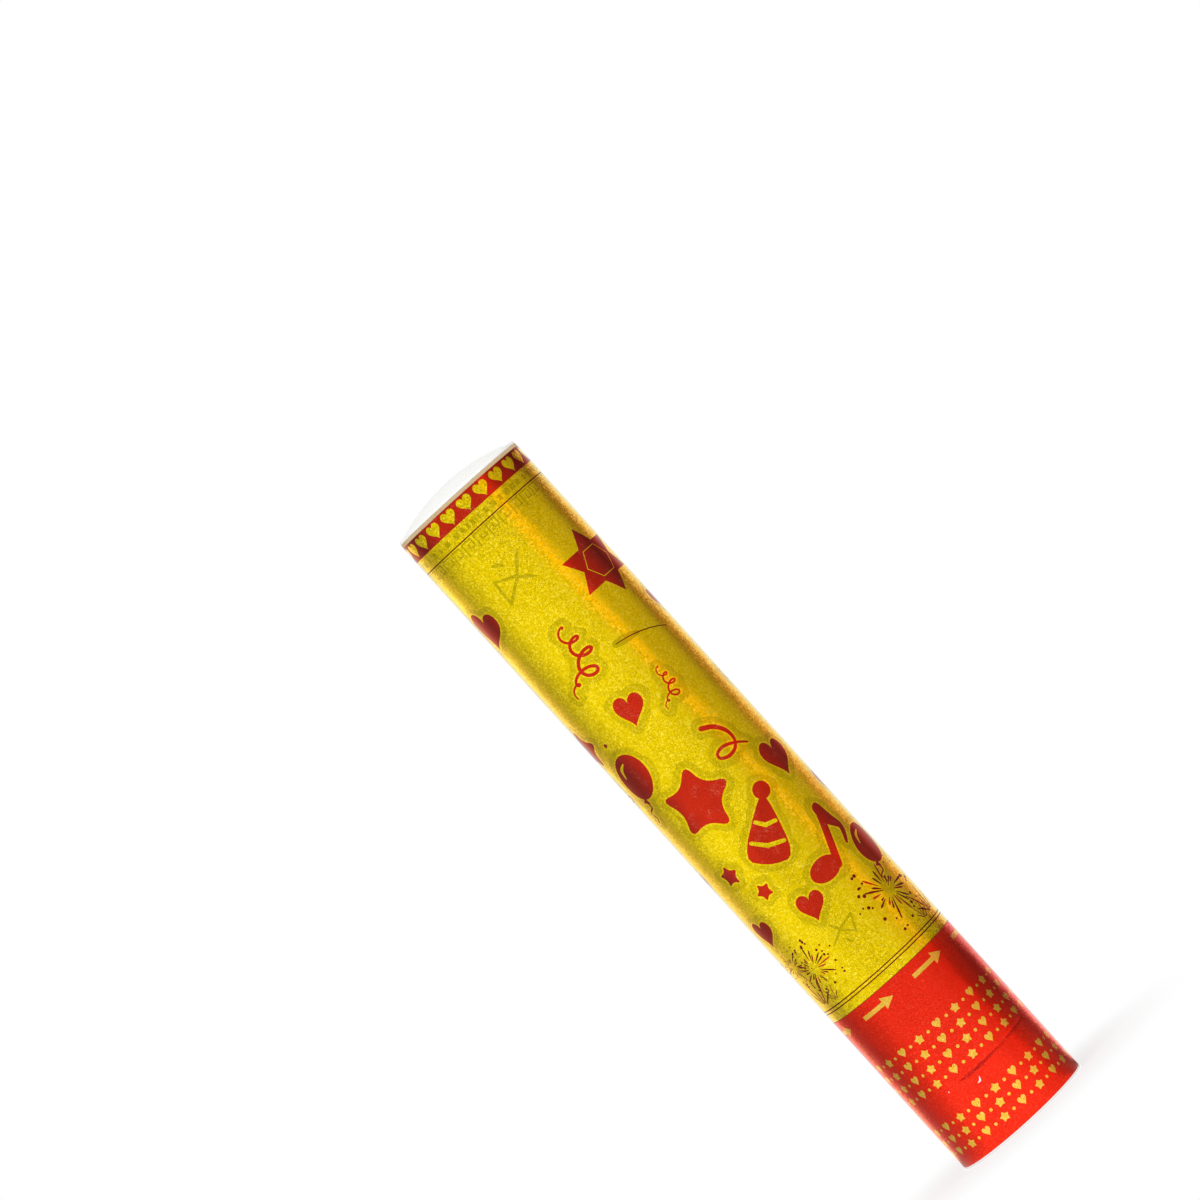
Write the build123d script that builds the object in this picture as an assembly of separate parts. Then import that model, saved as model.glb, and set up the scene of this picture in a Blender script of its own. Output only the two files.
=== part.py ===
"""Twist-to-fire confetti popper.

A foil-wrapped cardboard barrel stands on a foil-wrapped grip. The grip carries a bottle of compressed air.
Turning the grip turns a cam collar on the bottle's neck. The collar's slanted tracks lift a cross pin, and
with it the plug that stops the neck. The air then drives the pusher, the confetti and the cap out of the muzzle.

Units are millimetres. +Z points along the barrel to the muzzle, and the origin is the centre of the base.
"""

import math
import os

from build123d import *

# Fits shared by the pieces
GLUE_LINE = 0.05
PRESS_GAP = 0.02
TURNING_CLEARANCE = 0.35
SLIDING_CLEARANCE = 0.10
AXIAL_PLAY = 0.15
LOOSE_FIT = 0.30
CUT_OVERRUN = 1.0

# Tubes and their foil
TUBE_DIAMETER = 51.0
FOIL_THICKNESS = 0.20
BARREL_WALL = 2.0
BARREL_LENGTH = 211.8
GRIP_LENGTH = 64.2
SEAM_GAP = 0.40
MUZZLE_CARD_EDGE = 1.2

# Base cap
BASE_FLANGE = 0.8
BASE_FLOOR = 1.3
BASE_ROOM = 4.0
BASE_SPIGOT_WALL = 1.6
BASE_FOOT_WIDTH = 6.0
BASE_RECESS_DEPTH = 0.5

# Muzzle cap
CAP_LIP_INSET = 0.3
CAP_LIP_THICKNESS = 1.1
CAP_LIP_WIDTH = 1.4
CAP_DOME_RISE = 4.4
CAP_SPIGOT_DEPTH = 7.0
CAP_WALL = 1.0

# Air bottle, its end plate and its filling bung
BOTTLE_BODY_LENGTH = 96.0
BOTTLE_WALL = 1.6
SHOULDER_INSET = 4.0
SHOULDER_RISE = 4.0
SHOULDER_WALL = 2.4
NECK_BORE_RADIUS = 7.0
NECK_WALL = 3.0
NECK_HEIGHT = 13.0
END_PLATE_THICKNESS = 2.5
END_BOSS_WALL = 4.8
END_BOSS_HEIGHT = 3.0
BUNG_RADIUS = 3.2
BUNG_HEAD_OVERHANG = 1.8
BUNG_HEAD_THICKNESS = 1.4
BUNG_TIP_LENGTH = 1.5
NEEDLE_HOLE_RADIUS = 0.6
RETAINER_THICKNESS = 0.8
RETAINER_FLANGE = 1.4
RETAINER_LIP = 0.6

# Cam collar, clip and thrust washer
COLLAR_WALL = 3.0
COLLAR_FLANGE_WIDTH = 4.8
COLLAR_FLANGE_THICKNESS = 2.0
COLLAR_TOP_LAND = 1.2
CLIP_THICKNESS = 1.0
CLIP_GROOVE_DEPTH = 0.8
CLIP_OVERHANG = 1.8
CLIP_GAP = 7.0
WASHER_THICKNESS = 1.0

# Release plug, its seal and its cross pin
TWIST_ANGLE = 60.0
PIN_LIFT = 7.0
PIN_RADIUS = 1.5
PIN_ABOVE_NECK = 5.0
CAM_CLEARANCE = 0.25
CAM_STEPS = 6
PLUG_STEM_RADIUS = 4.6
PLUG_BELOW_SEAL = 5.0
PLUG_CHAMFER = 0.8
PLUG_HEAD_ABOVE_PIN = 5.0
SEAL_WIRE_RADIUS = 1.0
SEAL_DEPTH = 4.0

# Valve housing
HOUSING_RING_WALL = 2.0
WEB_THICKNESS = 3.0
GUIDE_WALL = 2.6
GUIDE_ROOF = 2.4
AIR_CHAMBER_HEIGHT = 6.0
HOUSING_RIB_COUNT = 6
HOUSING_RIB_THICKNESS = 1.6
HOUSING_RIB_DROP = 1.0

# Pusher and confetti
PUSHER_THICKNESS = 2.0
HEADSPACE = 10.0
TIER_COUNT = 2
SLIP_WIDTH_SHARE = 0.87
SLIP_COLOURS = ("gold", "red", "green", "purple", "magenta")
STREAMER_WIDTH = 9.0
STREAMER_CORE_RADIUS = 1.6
STREAMER_COLOURS = ("red", "green")
STAR_COLOURS = ("red", "gold", "blue", "silver")
STARS_PER_STACK = 8
STAR_THICKNESS = 0.8
STAR_RADIUS = 7.6
STAR_POINTS = 5
STAR_NOTCH_SHARE = 0.45
STAR_TURN_PER_STAR = 11.0

# Radii that follow from the tubes
outer_radius = TUBE_DIAMETER / 2
card_radius = outer_radius - FOIL_THICKNESS - GLUE_LINE
barrel_bore = card_radius - BARREL_WALL
bottle_radius = barrel_bore - TURNING_CLEARANCE
grip_bore = bottle_radius + GLUE_LINE

# Heights of the tubes
grip_low = BASE_FLANGE
grip_high = grip_low + GRIP_LENGTH
barrel_low = grip_high + SEAM_GAP
muzzle = barrel_low + BARREL_LENGTH
label_top = muzzle - MUZZLE_CARD_EDGE

# Heights of the bottle and the collar
base_floor_top = BASE_RECESS_DEPTH + BASE_FLOOR
bung_head_radius = BUNG_RADIUS + BUNG_HEAD_OVERHANG
retainer_low = base_floor_top + BASE_ROOM
bung_head_low = retainer_low + RETAINER_THICKNESS + PRESS_GAP
bottle_low = bung_head_low + BUNG_HEAD_THICKNESS
shoulder_low = bottle_low + BOTTLE_BODY_LENGTH
land = shoulder_low + SHOULDER_RISE
neck_top = land + NECK_HEIGHT
neck_radius = NECK_BORE_RADIUS + NECK_WALL
land_radius = bottle_radius - SHOULDER_INSET
bottle_bore = bottle_radius - BOTTLE_WALL
collar_bore = neck_radius + GLUE_LINE
collar_radius = collar_bore + COLLAR_WALL
collar_flange_radius = collar_radius + COLLAR_FLANGE_WIDTH
collar_flange_top = land + COLLAR_FLANGE_THICKNESS

# Heights of the valve, from the web up to the pusher
washer_low = collar_flange_top + AXIAL_PLAY
web_low = washer_low + WASHER_THICKNESS
web_high = web_low + WEB_THICKNESS
pin_height = neck_top + PIN_ABOVE_NECK
guide_bore = collar_radius + TURNING_CLEARANCE
guide_radius = guide_bore + GUIDE_WALL
slot_low = pin_height - PIN_RADIUS - CAM_CLEARANCE
slot_high = pin_height + PIN_LIFT + PIN_RADIUS + CAM_CLEARANCE
guide_top = slot_high + GUIDE_ROOF
clip_low = guide_top + AXIAL_PLAY
clip_high = clip_low + CLIP_THICKNESS
collar_top = clip_high + COLLAR_TOP_LAND
plug_top = pin_height + PLUG_HEAD_ABOVE_PIN
pusher_low = max(collar_top, plug_top + PIN_LIFT) + AIR_CHAMBER_HEIGHT
pusher_high = pusher_low + PUSHER_THICKNESS
housing_radius = barrel_bore - GLUE_LINE
housing_bore = housing_radius - HOUSING_RING_WALL

# Room for the confetti
charge_radius = barrel_bore - LOOSE_FIT
star_pitch = STAR_THICKNESS + AXIAL_PLAY
tiers_low = pusher_high + LOOSE_FIT
tiers_high = muzzle - CAP_SPIGOT_DEPTH - HEADSPACE - STARS_PER_STACK * star_pitch
tier_pitch = (tiers_high - tiers_low) / TIER_COUNT
slip_length = tier_pitch - LOOSE_FIT
slip_width = charge_radius * SLIP_WIDTH_SHARE


def turned(*outline):
    """A solid of revolution about Z. The outline is given as (radius, height) corners."""
    corners = [(radius, 0, height) for radius, height in outline]
    return revolve(make_face(Polyline(*corners, close=True)), Axis.Z)


def ring(bore, radius, low, high):
    """A plain ring or tube between two heights."""
    return turned((bore, low), (radius, low), (radius, high), (bore, high))


def disc(radius, low, high):
    """A plain disc between two heights."""
    return Pos(0, 0, low) * Cylinder(radius, high - low, align=(Align.CENTER, Align.CENTER, Align.MIN))


def cross_bar(radius, half_length, height):
    """A round bar along X, centred on the axis."""
    return Pos(0, 0, height) * Rot(0, 90, 0) * Cylinder(radius, 2 * half_length)


def barrel_tube():
    """The cardboard barrel."""
    return ring(barrel_bore, card_radius, barrel_low, muzzle)


def barrel_foil_wrap():
    """The foil label round the barrel. It leaves the card bare at the muzzle's edge."""
    return ring(card_radius + GLUE_LINE, outer_radius, barrel_low, label_top)


def grip_tube():
    """The cardboard grip, glued to the bottle inside it."""
    return ring(grip_bore, card_radius, grip_low, grip_high)


def grip_foil_wrap():
    """The foil label round the grip."""
    return ring(card_radius + GLUE_LINE, outer_radius, grip_low, grip_high)


def base_cap():
    """The moulded cap that closes the grip. It stands on a raised foot ring, and its spigot carries the bottle."""
    spigot_radius = grip_bore - GLUE_LINE
    spigot_bore = spigot_radius - BASE_SPIGOT_WALL
    recess_radius = outer_radius - BASE_FOOT_WIDTH
    return turned(
        (0, BASE_RECESS_DEPTH),
        (recess_radius, BASE_RECESS_DEPTH),
        (recess_radius, 0),
        (outer_radius, 0),
        (outer_radius, BASE_FLANGE),
        (spigot_radius, BASE_FLANGE),
        (spigot_radius, bottle_low),
        (spigot_bore, bottle_low),
        (spigot_bore, base_floor_top),
        (0, base_floor_top),
    )


def dome_arc(reach, foot, top):
    """Half of a round dome's section, from the axis at its top out to its foot."""
    rise = top - foot
    sphere = (reach**2 + rise**2) / (2 * rise)
    half = reach / 2
    half_height = top - sphere + math.sqrt(sphere**2 - half**2)
    return ThreePointArc((0, 0, top), (half, 0, half_height), (reach, 0, foot))


def muzzle_cap():
    """The thin domed cap pushed into the muzzle."""
    lip_radius = outer_radius - CAP_LIP_INSET
    dome_radius = lip_radius - CAP_LIP_WIDTH
    spigot_radius = barrel_bore - SLIDING_CLEARANCE
    spigot_bore = spigot_radius - CAP_WALL
    lip_top = muzzle + CAP_LIP_THICKNESS
    dome_top = lip_top + CAP_DOME_RISE
    inner_top = dome_top - CAP_WALL
    inner_foot = lip_top - CAP_WALL
    dome = dome_arc(dome_radius, lip_top, dome_top)
    vault = dome_arc(spigot_bore, inner_foot, inner_top)
    lip_and_spigot = Polyline(
        (dome_radius, 0, lip_top),
        (lip_radius, 0, lip_top),
        (lip_radius, 0, muzzle),
        (spigot_radius, 0, muzzle),
        (spigot_radius, 0, muzzle - CAP_SPIGOT_DEPTH),
        (spigot_bore, 0, muzzle - CAP_SPIGOT_DEPTH),
        (spigot_bore, 0, inner_foot),
    )
    axis_line = Line((0, 0, inner_top), (0, 0, dome_top))
    return revolve(make_face([*dome.edges(), *lip_and_spigot.edges(), *vault.edges(), *axis_line.edges()]), Axis.Z)


def air_bottle():
    """The bottle that holds the compressed air. Its land carries the collar, and its neck takes the plug."""
    land_below = land - SHOULDER_WALL
    shoulder_below = shoulder_low - SHOULDER_WALL / 2
    return turned(
        (bottle_bore, bottle_low),
        (bottle_radius, bottle_low),
        (bottle_radius, shoulder_low),
        (land_radius, land),
        (neck_radius, land),
        (neck_radius, neck_top),
        (NECK_BORE_RADIUS, neck_top),
        (NECK_BORE_RADIUS, land_below),
        (land_radius - BOTTLE_WALL, land_below),
        (bottle_bore, shoulder_below),
    )


def bottle_end_plate():
    """The plate welded into the bottle's foot, with the boss for the filling bung."""
    plate_radius = bottle_bore - GLUE_LINE
    plate_high = bottle_low + END_PLATE_THICKNESS
    hole = BUNG_RADIUS + PRESS_GAP
    boss_radius = BUNG_RADIUS + END_BOSS_WALL
    return turned(
        (hole, bottle_low),
        (plate_radius, bottle_low),
        (plate_radius, plate_high),
        (boss_radius, plate_high),
        (boss_radius, plate_high + END_BOSS_HEIGHT),
        (hole, plate_high + END_BOSS_HEIGHT),
    )


def fill_bung():
    """The rubber bung that a filling needle goes through. Its head lies under the plate."""
    tip = bottle_low + END_PLATE_THICKNESS + END_BOSS_HEIGHT + BUNG_TIP_LENGTH
    return turned(
        (NEEDLE_HOLE_RADIUS, bung_head_low),
        (bung_head_radius, bung_head_low),
        (bung_head_radius, bottle_low),
        (BUNG_RADIUS, bottle_low),
        (BUNG_RADIUS, tip),
        (0, tip),
        (0, bottle_low),
        (NEEDLE_HOLE_RADIUS, bottle_low),
    )


def bung_retainer():
    """The pressed cup that holds the bung's head against the plate."""
    cup_bore = bung_head_radius + PRESS_GAP
    opening = bung_head_radius - RETAINER_LIP
    cup_floor = retainer_low + RETAINER_THICKNESS
    cup_radius = cup_bore + RETAINER_THICKNESS
    flange_radius = cup_radius + RETAINER_FLANGE
    flange_low = bottle_low - RETAINER_THICKNESS
    return turned(
        (opening, retainer_low),
        (cup_radius, retainer_low),
        (cup_radius, flange_low),
        (flange_radius, flange_low),
        (flange_radius, bottle_low),
        (cup_bore, bottle_low),
        (cup_bore, cup_floor),
        (opening, cup_floor),
    )


def cam_track(start_angle):
    """One slanted track through the collar's wall. It climbs PIN_LIFT while it falls back by TWIST_ANGLE."""
    track_radius = PIN_RADIUS + CAM_CLEARANCE
    steepest = math.atan2(PIN_LIFT, collar_bore * math.radians(TWIST_ANGLE))
    track_width = 2 * track_radius / math.cos(steepest)
    span = COLLAR_WALL + 2 * CUT_OVERRUN
    middle = collar_bore + COLLAR_WALL / 2
    sections = []
    ends = []
    for step in range(CAM_STEPS + 1):
        share = step / CAM_STEPS
        angle = math.radians(start_angle - TWIST_ANGLE * share)
        outward = (math.cos(angle), math.sin(angle), 0)
        along = (-math.sin(angle), math.cos(angle), 0)
        height = pin_height + PIN_LIFT * share
        across = Plane(origin=(0, 0, height), x_dir=outward, z_dir=along)
        sections.append(across * Pos(middle, 0) * Rectangle(span, track_width))
        if share in (0, 1):
            facing = Plane(origin=(middle * outward[0], middle * outward[1], height), z_dir=outward)
            ends.append(facing * Cylinder(track_radius, span))
    return loft(sections, ruled=True) + ends[0] + ends[1]


def cam_collar():
    """The collar on the bottle's neck. Its tracks lift the cross pin when the grip turns."""
    groove_floor = collar_radius - CLIP_GROOVE_DEPTH
    groove_low = clip_low - AXIAL_PLAY / 2
    groove_high = clip_high + AXIAL_PLAY / 2
    blank = turned(
        (collar_bore, land),
        (collar_flange_radius, land),
        (collar_flange_radius, collar_flange_top),
        (collar_radius, collar_flange_top),
        (collar_radius, groove_low),
        (groove_floor, groove_low),
        (groove_floor, groove_high),
        (collar_radius, groove_high),
        (collar_radius, collar_top),
        (collar_bore, collar_top),
    )
    return blank - cam_track(0) - cam_track(180)


def retaining_clip():
    """The split ring in the collar's groove. It rides on the guide's top and keeps the two halves together."""
    clip_bore = collar_radius - CLIP_GROOVE_DEPTH + PRESS_GAP
    clip_radius = guide_bore + CLIP_OVERHANG
    whole = ring(clip_bore, clip_radius, clip_low, clip_high)
    gap = Pos(0, -clip_radius, clip_low + CLIP_THICKNESS / 2) * Box(
        CLIP_GAP, clip_radius, CLIP_THICKNESS + 2 * CUT_OVERRUN
    )
    return whole - gap


def thrust_washer():
    """The slippery washer between the collar's flange and the housing."""
    return ring(guide_bore, collar_flange_radius, washer_low, web_low)


def valve_housing():
    """The moulding glued into the barrel. Its guide keeps the cross pin from turning, and its ring seats the pusher."""
    body = turned(
        (guide_bore, web_low),
        (housing_radius, web_low),
        (housing_radius, pusher_low),
        (housing_bore, pusher_low),
        (housing_bore, web_high),
        (guide_radius, web_high),
        (guide_radius, guide_top),
        (guide_bore, guide_top),
    )
    rib_length = housing_bore - guide_radius
    rib_height = slot_low - HOUSING_RIB_DROP - web_high
    rib = Pos(guide_radius + rib_length / 2, 0, web_high + rib_height / 2) * Box(
        rib_length + HOUSING_RING_WALL, HOUSING_RIB_THICKNESS, rib_height
    )
    for index in range(HOUSING_RIB_COUNT):
        body += Rot(0, 0, index * 360 / HOUSING_RIB_COUNT) * rib
    slot = Pos(0, 0, (slot_low + slot_high) / 2) * Box(
        2 * guide_radius + CUT_OVERRUN, 2 * (PIN_RADIUS + CAM_CLEARANCE), slot_high - slot_low
    )
    pin_way = cross_bar(PIN_RADIUS + LOOSE_FIT, housing_radius + CUT_OVERRUN, pin_height)
    return body - slot - pin_way


def seal_ring_radius():
    """Radius of the seal's centre line, so that it just clears the neck's bore."""
    return NECK_BORE_RADIUS - PRESS_GAP - SEAL_WIRE_RADIUS


def release_plug():
    """The plug that stops the neck. Its stem carries the cross pin."""
    plug_radius = NECK_BORE_RADIUS - SLIDING_CLEARANCE
    seal_height = neck_top - SEAL_DEPTH
    plug_low = seal_height - PLUG_BELOW_SEAL
    groove_floor = seal_ring_radius() - SEAL_WIRE_RADIUS - PRESS_GAP
    groove_low = seal_height - SEAL_WIRE_RADIUS - PRESS_GAP
    groove_high = seal_height + SEAL_WIRE_RADIUS + PRESS_GAP
    body = turned(
        (0, plug_low),
        (plug_radius - PLUG_CHAMFER, plug_low),
        (plug_radius, plug_low + PLUG_CHAMFER),
        (plug_radius, groove_low),
        (groove_floor, groove_low),
        (groove_floor, groove_high),
        (plug_radius, groove_high),
        (plug_radius, neck_top),
        (PLUG_STEM_RADIUS, neck_top + PLUG_CHAMFER),
        (PLUG_STEM_RADIUS, plug_top - PLUG_CHAMFER),
        (PLUG_STEM_RADIUS - PLUG_CHAMFER, plug_top),
        (0, plug_top),
    )
    return body - cross_bar(PIN_RADIUS + PRESS_GAP, PLUG_STEM_RADIUS + CUT_OVERRUN, pin_height)


def plug_o_ring():
    """The rubber seal in the plug's groove."""
    return Pos(0, 0, neck_top - SEAL_DEPTH) * Torus(seal_ring_radius(), SEAL_WIRE_RADIUS)


def cross_pin():
    """The steel pin through the plug, the collar's tracks and the housing's guide."""
    return cross_bar(PIN_RADIUS, guide_radius - CAM_CLEARANCE, pin_height)


def pusher_disc():
    """The board disc that the air drives up the barrel."""
    return disc(barrel_bore - TURNING_CLEARANCE, pusher_low, pusher_high)


def tier_places():
    """Height of each tier of confetti and the turn that its bundles have."""
    return [(tiers_low + tier * tier_pitch, 90 * tier) for tier in range(TIER_COUNT)]


def slip_bundles(index):
    """One colour's bundles of tissue slips, standing on end, one in each tier."""
    stack = 2 * math.sqrt(charge_radius**2 - (slip_width / 2) ** 2)
    pitch = stack / len(SLIP_COLOURS)
    place = (index + 1 / 2) * pitch - stack / 2
    block = Pos(0, place, 0) * Box(
        slip_width, pitch - LOOSE_FIT, slip_length, align=(Align.CENTER, Align.CENTER, Align.MIN)
    )
    return Compound([Pos(0, 0, low) * Rot(0, 0, turn) * block for low, turn in tier_places()])


def streamer_rolls(side):
    """One colour's rolled streamers, in the space beside the bundles."""
    roll_radius = (charge_radius - slip_width / 2) / 2 - LOOSE_FIT
    place = side * (slip_width / 2 + LOOSE_FIT + roll_radius)
    pitch = STREAMER_WIDTH + LOOSE_FIT
    rolls = []
    for low, turn in tier_places():
        for index in range(int(slip_length // pitch)):
            roll = ring(STREAMER_CORE_RADIUS, roll_radius, index * pitch, index * pitch + STREAMER_WIDTH)
            rolls.append(Pos(0, 0, low) * Rot(0, 0, turn) * Pos(place, 0, 0) * roll)
    return Compound(rolls)


def star_outline():
    """A star with straight sides, as a flat face."""
    points = []
    for corner in range(2 * STAR_POINTS):
        reach = STAR_RADIUS if corner % 2 == 0 else STAR_RADIUS * STAR_NOTCH_SHARE
        angle = math.pi * corner / STAR_POINTS
        points.append((reach * math.cos(angle), reach * math.sin(angle)))
    return make_face(Polyline(*points, close=True))


def foil_stars(index):
    """One colour's stack of foil stars, on top of the bundles."""
    circle = charge_radius - STAR_RADIUS
    angle = 2 * math.pi * (index + 1 / 2) / len(STAR_COLOURS)
    star = extrude(star_outline(), STAR_THICKNESS)
    stack = []
    for number in range(STARS_PER_STACK):
        place = Pos(circle * math.cos(angle), circle * math.sin(angle), tiers_high + number * star_pitch)
        stack.append(place * Rot(0, 0, number * STAR_TURN_PER_STAR) * star)
    return Compound(stack)


def pieces():
    """Every node of the popper with its solid or group of solids."""
    made = {
        "barrel_tube": barrel_tube(),
        "barrel_foil_wrap": barrel_foil_wrap(),
        "grip_tube": grip_tube(),
        "grip_foil_wrap": grip_foil_wrap(),
        "base_cap": base_cap(),
        "muzzle_cap": muzzle_cap(),
        "air_bottle": air_bottle(),
        "bottle_end_plate": bottle_end_plate(),
        "fill_bung": fill_bung(),
        "bung_retainer": bung_retainer(),
        "cam_collar": cam_collar(),
        "retaining_clip": retaining_clip(),
        "thrust_washer": thrust_washer(),
        "valve_housing": valve_housing(),
        "release_plug": release_plug(),
        "plug_o_ring": plug_o_ring(),
        "cross_pin": cross_pin(),
        "pusher_disc": pusher_disc(),
    }
    for index, colour in enumerate(SLIP_COLOURS):
        made[f"slips_{colour}"] = slip_bundles(index)
    for side, colour in zip((1, -1), STREAMER_COLOURS):
        made[f"streamers_{colour}"] = streamer_rolls(side)
    for index, colour in enumerate(STAR_COLOURS):
        made[f"stars_{colour}"] = foil_stars(index)
    return made


def main():
    """Writes one STEP file for each node."""
    os.makedirs("parts", exist_ok=True)
    for name, shape in pieces().items():
        export_step(shape, f"parts/{name}.step")
    print(f"muzzle at {muzzle:.2f}, pusher at {pusher_low:.2f}, pin at {pin_height:.2f}, confetti to {tiers_high:.2f}")
    print(f"lift per radian {PIN_LIFT / math.radians(TWIST_ANGLE):.5f}, barrel bore {barrel_bore:.3f}")


if __name__ == "__main__":
    main()
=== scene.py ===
"""Dress for a confetti popper: printed foil labels on card tubes, moulded caps, and the charge inside."""

import logging
import math
import random
from dataclasses import dataclass, field, replace
from enum import Enum
from typing import Iterable, Mapping, Sequence, Union

import bmesh
import bpy
import numpy as np
from mathutils import Matrix, Vector, kdtree, noise
from mathutils.geometry import delaunay_2d_cdt


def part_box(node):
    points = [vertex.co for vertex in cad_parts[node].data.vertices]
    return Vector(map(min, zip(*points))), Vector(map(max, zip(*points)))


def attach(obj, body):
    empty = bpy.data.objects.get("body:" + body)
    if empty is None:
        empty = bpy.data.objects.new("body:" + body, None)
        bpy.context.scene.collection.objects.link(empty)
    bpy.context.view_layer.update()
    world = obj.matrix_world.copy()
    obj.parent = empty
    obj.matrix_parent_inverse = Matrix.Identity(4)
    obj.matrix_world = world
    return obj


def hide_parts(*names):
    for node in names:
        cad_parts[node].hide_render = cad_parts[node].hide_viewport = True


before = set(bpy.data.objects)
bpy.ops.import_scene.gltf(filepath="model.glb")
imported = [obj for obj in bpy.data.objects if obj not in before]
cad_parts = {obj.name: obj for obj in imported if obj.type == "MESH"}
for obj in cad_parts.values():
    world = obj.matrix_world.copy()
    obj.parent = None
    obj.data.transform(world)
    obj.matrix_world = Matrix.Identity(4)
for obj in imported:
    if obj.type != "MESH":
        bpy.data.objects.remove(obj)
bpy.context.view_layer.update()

Point = tuple[float, float]
Place = tuple[float, float, float]
Ramp = tuple[float, float, float, float]
Row = tuple[float, ...]
Outline = list[Point]
Colour = tuple[float, float, float]
Mesh = tuple[list[Vector], list[list[int]]]
Node = bpy.types.Node
Socket = bpy.types.NodeSocket
Sockets = Mapping[str, Socket]
Entry = Union[Socket, float, tuple]

LOG = logging.getLogger("popper")
MM = 0.001
FULL_TURN = 2.0 * math.pi
FAR_OFF = 1e9
SAME_PLACE = 1e-4
UP_AND_DOWN: Ramp = (0.0, 1.0, 1.0, 0.0)
WHITE = (1.0, 1.0, 1.0, 1.0)


def srgb(red: int, green: int, blue: int) -> Colour:
    """Turns a screen's colour, 0 to 255, into a shader's linear values."""
    shares = (channel / 255.0 for channel in (red, green, blue))
    return tuple(s / 12.92 if s <= 0.04045 else ((s + 0.055) / 1.055) ** 2.4 for s in shares)


def opaque(colour: Entry) -> Entry:
    """Gives a plain colour its alpha, and leaves a socket as it is."""
    return (*colour, 1.0) if isinstance(colour, tuple) else colour


def polar(radius: float, angle: float) -> Point:
    """Gives the point at a radius and an angle."""
    return radius * math.cos(angle), radius * math.sin(angle)


# Shader wiring


class Wiring:
    """Adds nodes to one node tree and joins them."""

    def __init__(self, tree: bpy.types.NodeTree) -> None:
        """Keeps the tree that the nodes go into."""
        self.tree = tree

    def node(self, kind: str, inputs: dict | None = None, **settings: object) -> Node:
        """Adds a node.

        Args:
            kind: the node's type, without ShaderNode in front of it.
            inputs: a value or a socket for each named or numbered input.
            settings: the node's own properties.

        Returns:
            The new node.
        """
        made = self.tree.nodes.new(kind if kind.startswith("NodeGroup") else "ShaderNode" + kind)
        for name, setting in settings.items():
            setattr(made, name, setting)
        for key, entry in (inputs or {}).items():
            self.feed(made.inputs[key], entry)
        return made

    def feed(self, socket: Socket, entry: Entry) -> None:
        """Joins a socket to another one, or sets its value.

        Args:
            socket: the socket that takes the entry.
            entry: the other socket, or the value.
        """
        if isinstance(entry, Socket):
            self.tree.links.new(entry, socket)
        else:
            socket.default_value = entry

    def sum(self, operation: str, first: Entry, second: Entry = 0.0, third: Entry = 0.0) -> Socket:
        """Works one sum on numbers or sockets and gives its result."""
        return self.node("Math", {0: first, 1: second, 2: third}, operation=operation).outputs[0]

    def vector(self, operation: str, *inputs: Entry) -> Socket:
        """Works one sum on vectors and gives its result."""
        return self.node("VectorMath", dict(enumerate(inputs)), operation=operation).outputs[0]

    def swing(self, tone: Entry, depth: Entry, base: Entry = 1.0) -> Socket:
        """Moves a base up and down with a tone, which is level at a half."""
        return self.sum("MULTIPLY_ADD", self.sum("SUBTRACT", tone, 0.5), depth, base)

    def span(self, entry: Entry, edges: Point, ends: Point = (0.0, 1.0)) -> Socket:
        """Maps two edges to two ends, smoothly, and holds the ends."""
        inputs = dict(zip(("Value", "From Min", "From Max", "To Min", "To Max"), (entry, *edges, *ends)))
        return self.node("MapRange", inputs, interpolation_type="SMOOTHSTEP").outputs[0]

    def mix(self, share: Entry, first: Entry, second: Entry) -> Socket:
        """Mixes two colours, with share as the part of the second."""
        inputs = {0: share, 6: opaque(first), 7: opaque(second)}
        return self.node("Mix", inputs, data_type="RGBA").outputs[2]

    def mix_shaders(self, share: Entry, first: Node, second: Node) -> Node:
        """Mixes two shaders, with share as the part of the second."""
        return self.node("MixShader", {0: share, 1: first.outputs[0], 2: second.outputs[0]})

    def brighten(self, colour: Entry, level: Entry) -> Socket:
        """Multiplies a colour's brightness by a level."""
        return self.node("HueSaturation", {"Color": opaque(colour), "Value": level}).outputs[0]

    def place(self, stretch: Place | None = None, turn: Place | None = None) -> Socket:
        """Gives a piece's own coordinates, turned and then stretched.

        Args:
            stretch: the scale along each axis.
            turn: the turn about each axis, in radians.

        Returns:
            The coordinates.
        """
        own = self.node("TexCoord").outputs["Object"]
        for name, change in (("Rotation", turn), ("Scale", stretch)):
            if change:
                own = self.node("Mapping", {"Vector": own, name: change}).outputs[0]
        return own

    def noise(self, scale: Entry, detail: float, where: Socket | None = None) -> Socket:
        """Gives noise over a piece's own coordinates, or over others."""
        inputs = {"Vector": where or self.place(), "Scale": scale, "Detail": detail}
        return self.node("TexNoise", inputs).outputs[0]

    def effect(self, effect: "Effect", **inputs: Entry) -> Sockets:
        """Places a shared effect in this tree, and gives its outputs."""
        return self.node("Group", inputs, node_tree=effect.group()).outputs


class Surface(Wiring):
    """Wires one material's shader."""

    def __init__(self, material: bpy.types.Material) -> None:
        """Keeps the material's tree and its shader's sockets."""
        super().__init__(material.node_tree)
        self.shader: Sockets = material.node_tree.nodes["Principled BSDF"].inputs

    def put(self, name: str, entry: Entry) -> None:
        """Feeds one of the shader's sockets."""
        self.feed(self.shader[name], entry)

    def relief(self, strength: float, depth: float = 0.0003, **inputs: Entry) -> None:
        """Gives the surface a shallow relief."""
        bump = self.node("Bump", {"Strength": strength, "Distance": depth, **inputs})
        self.put("Normal", bump.outputs[0])


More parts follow.
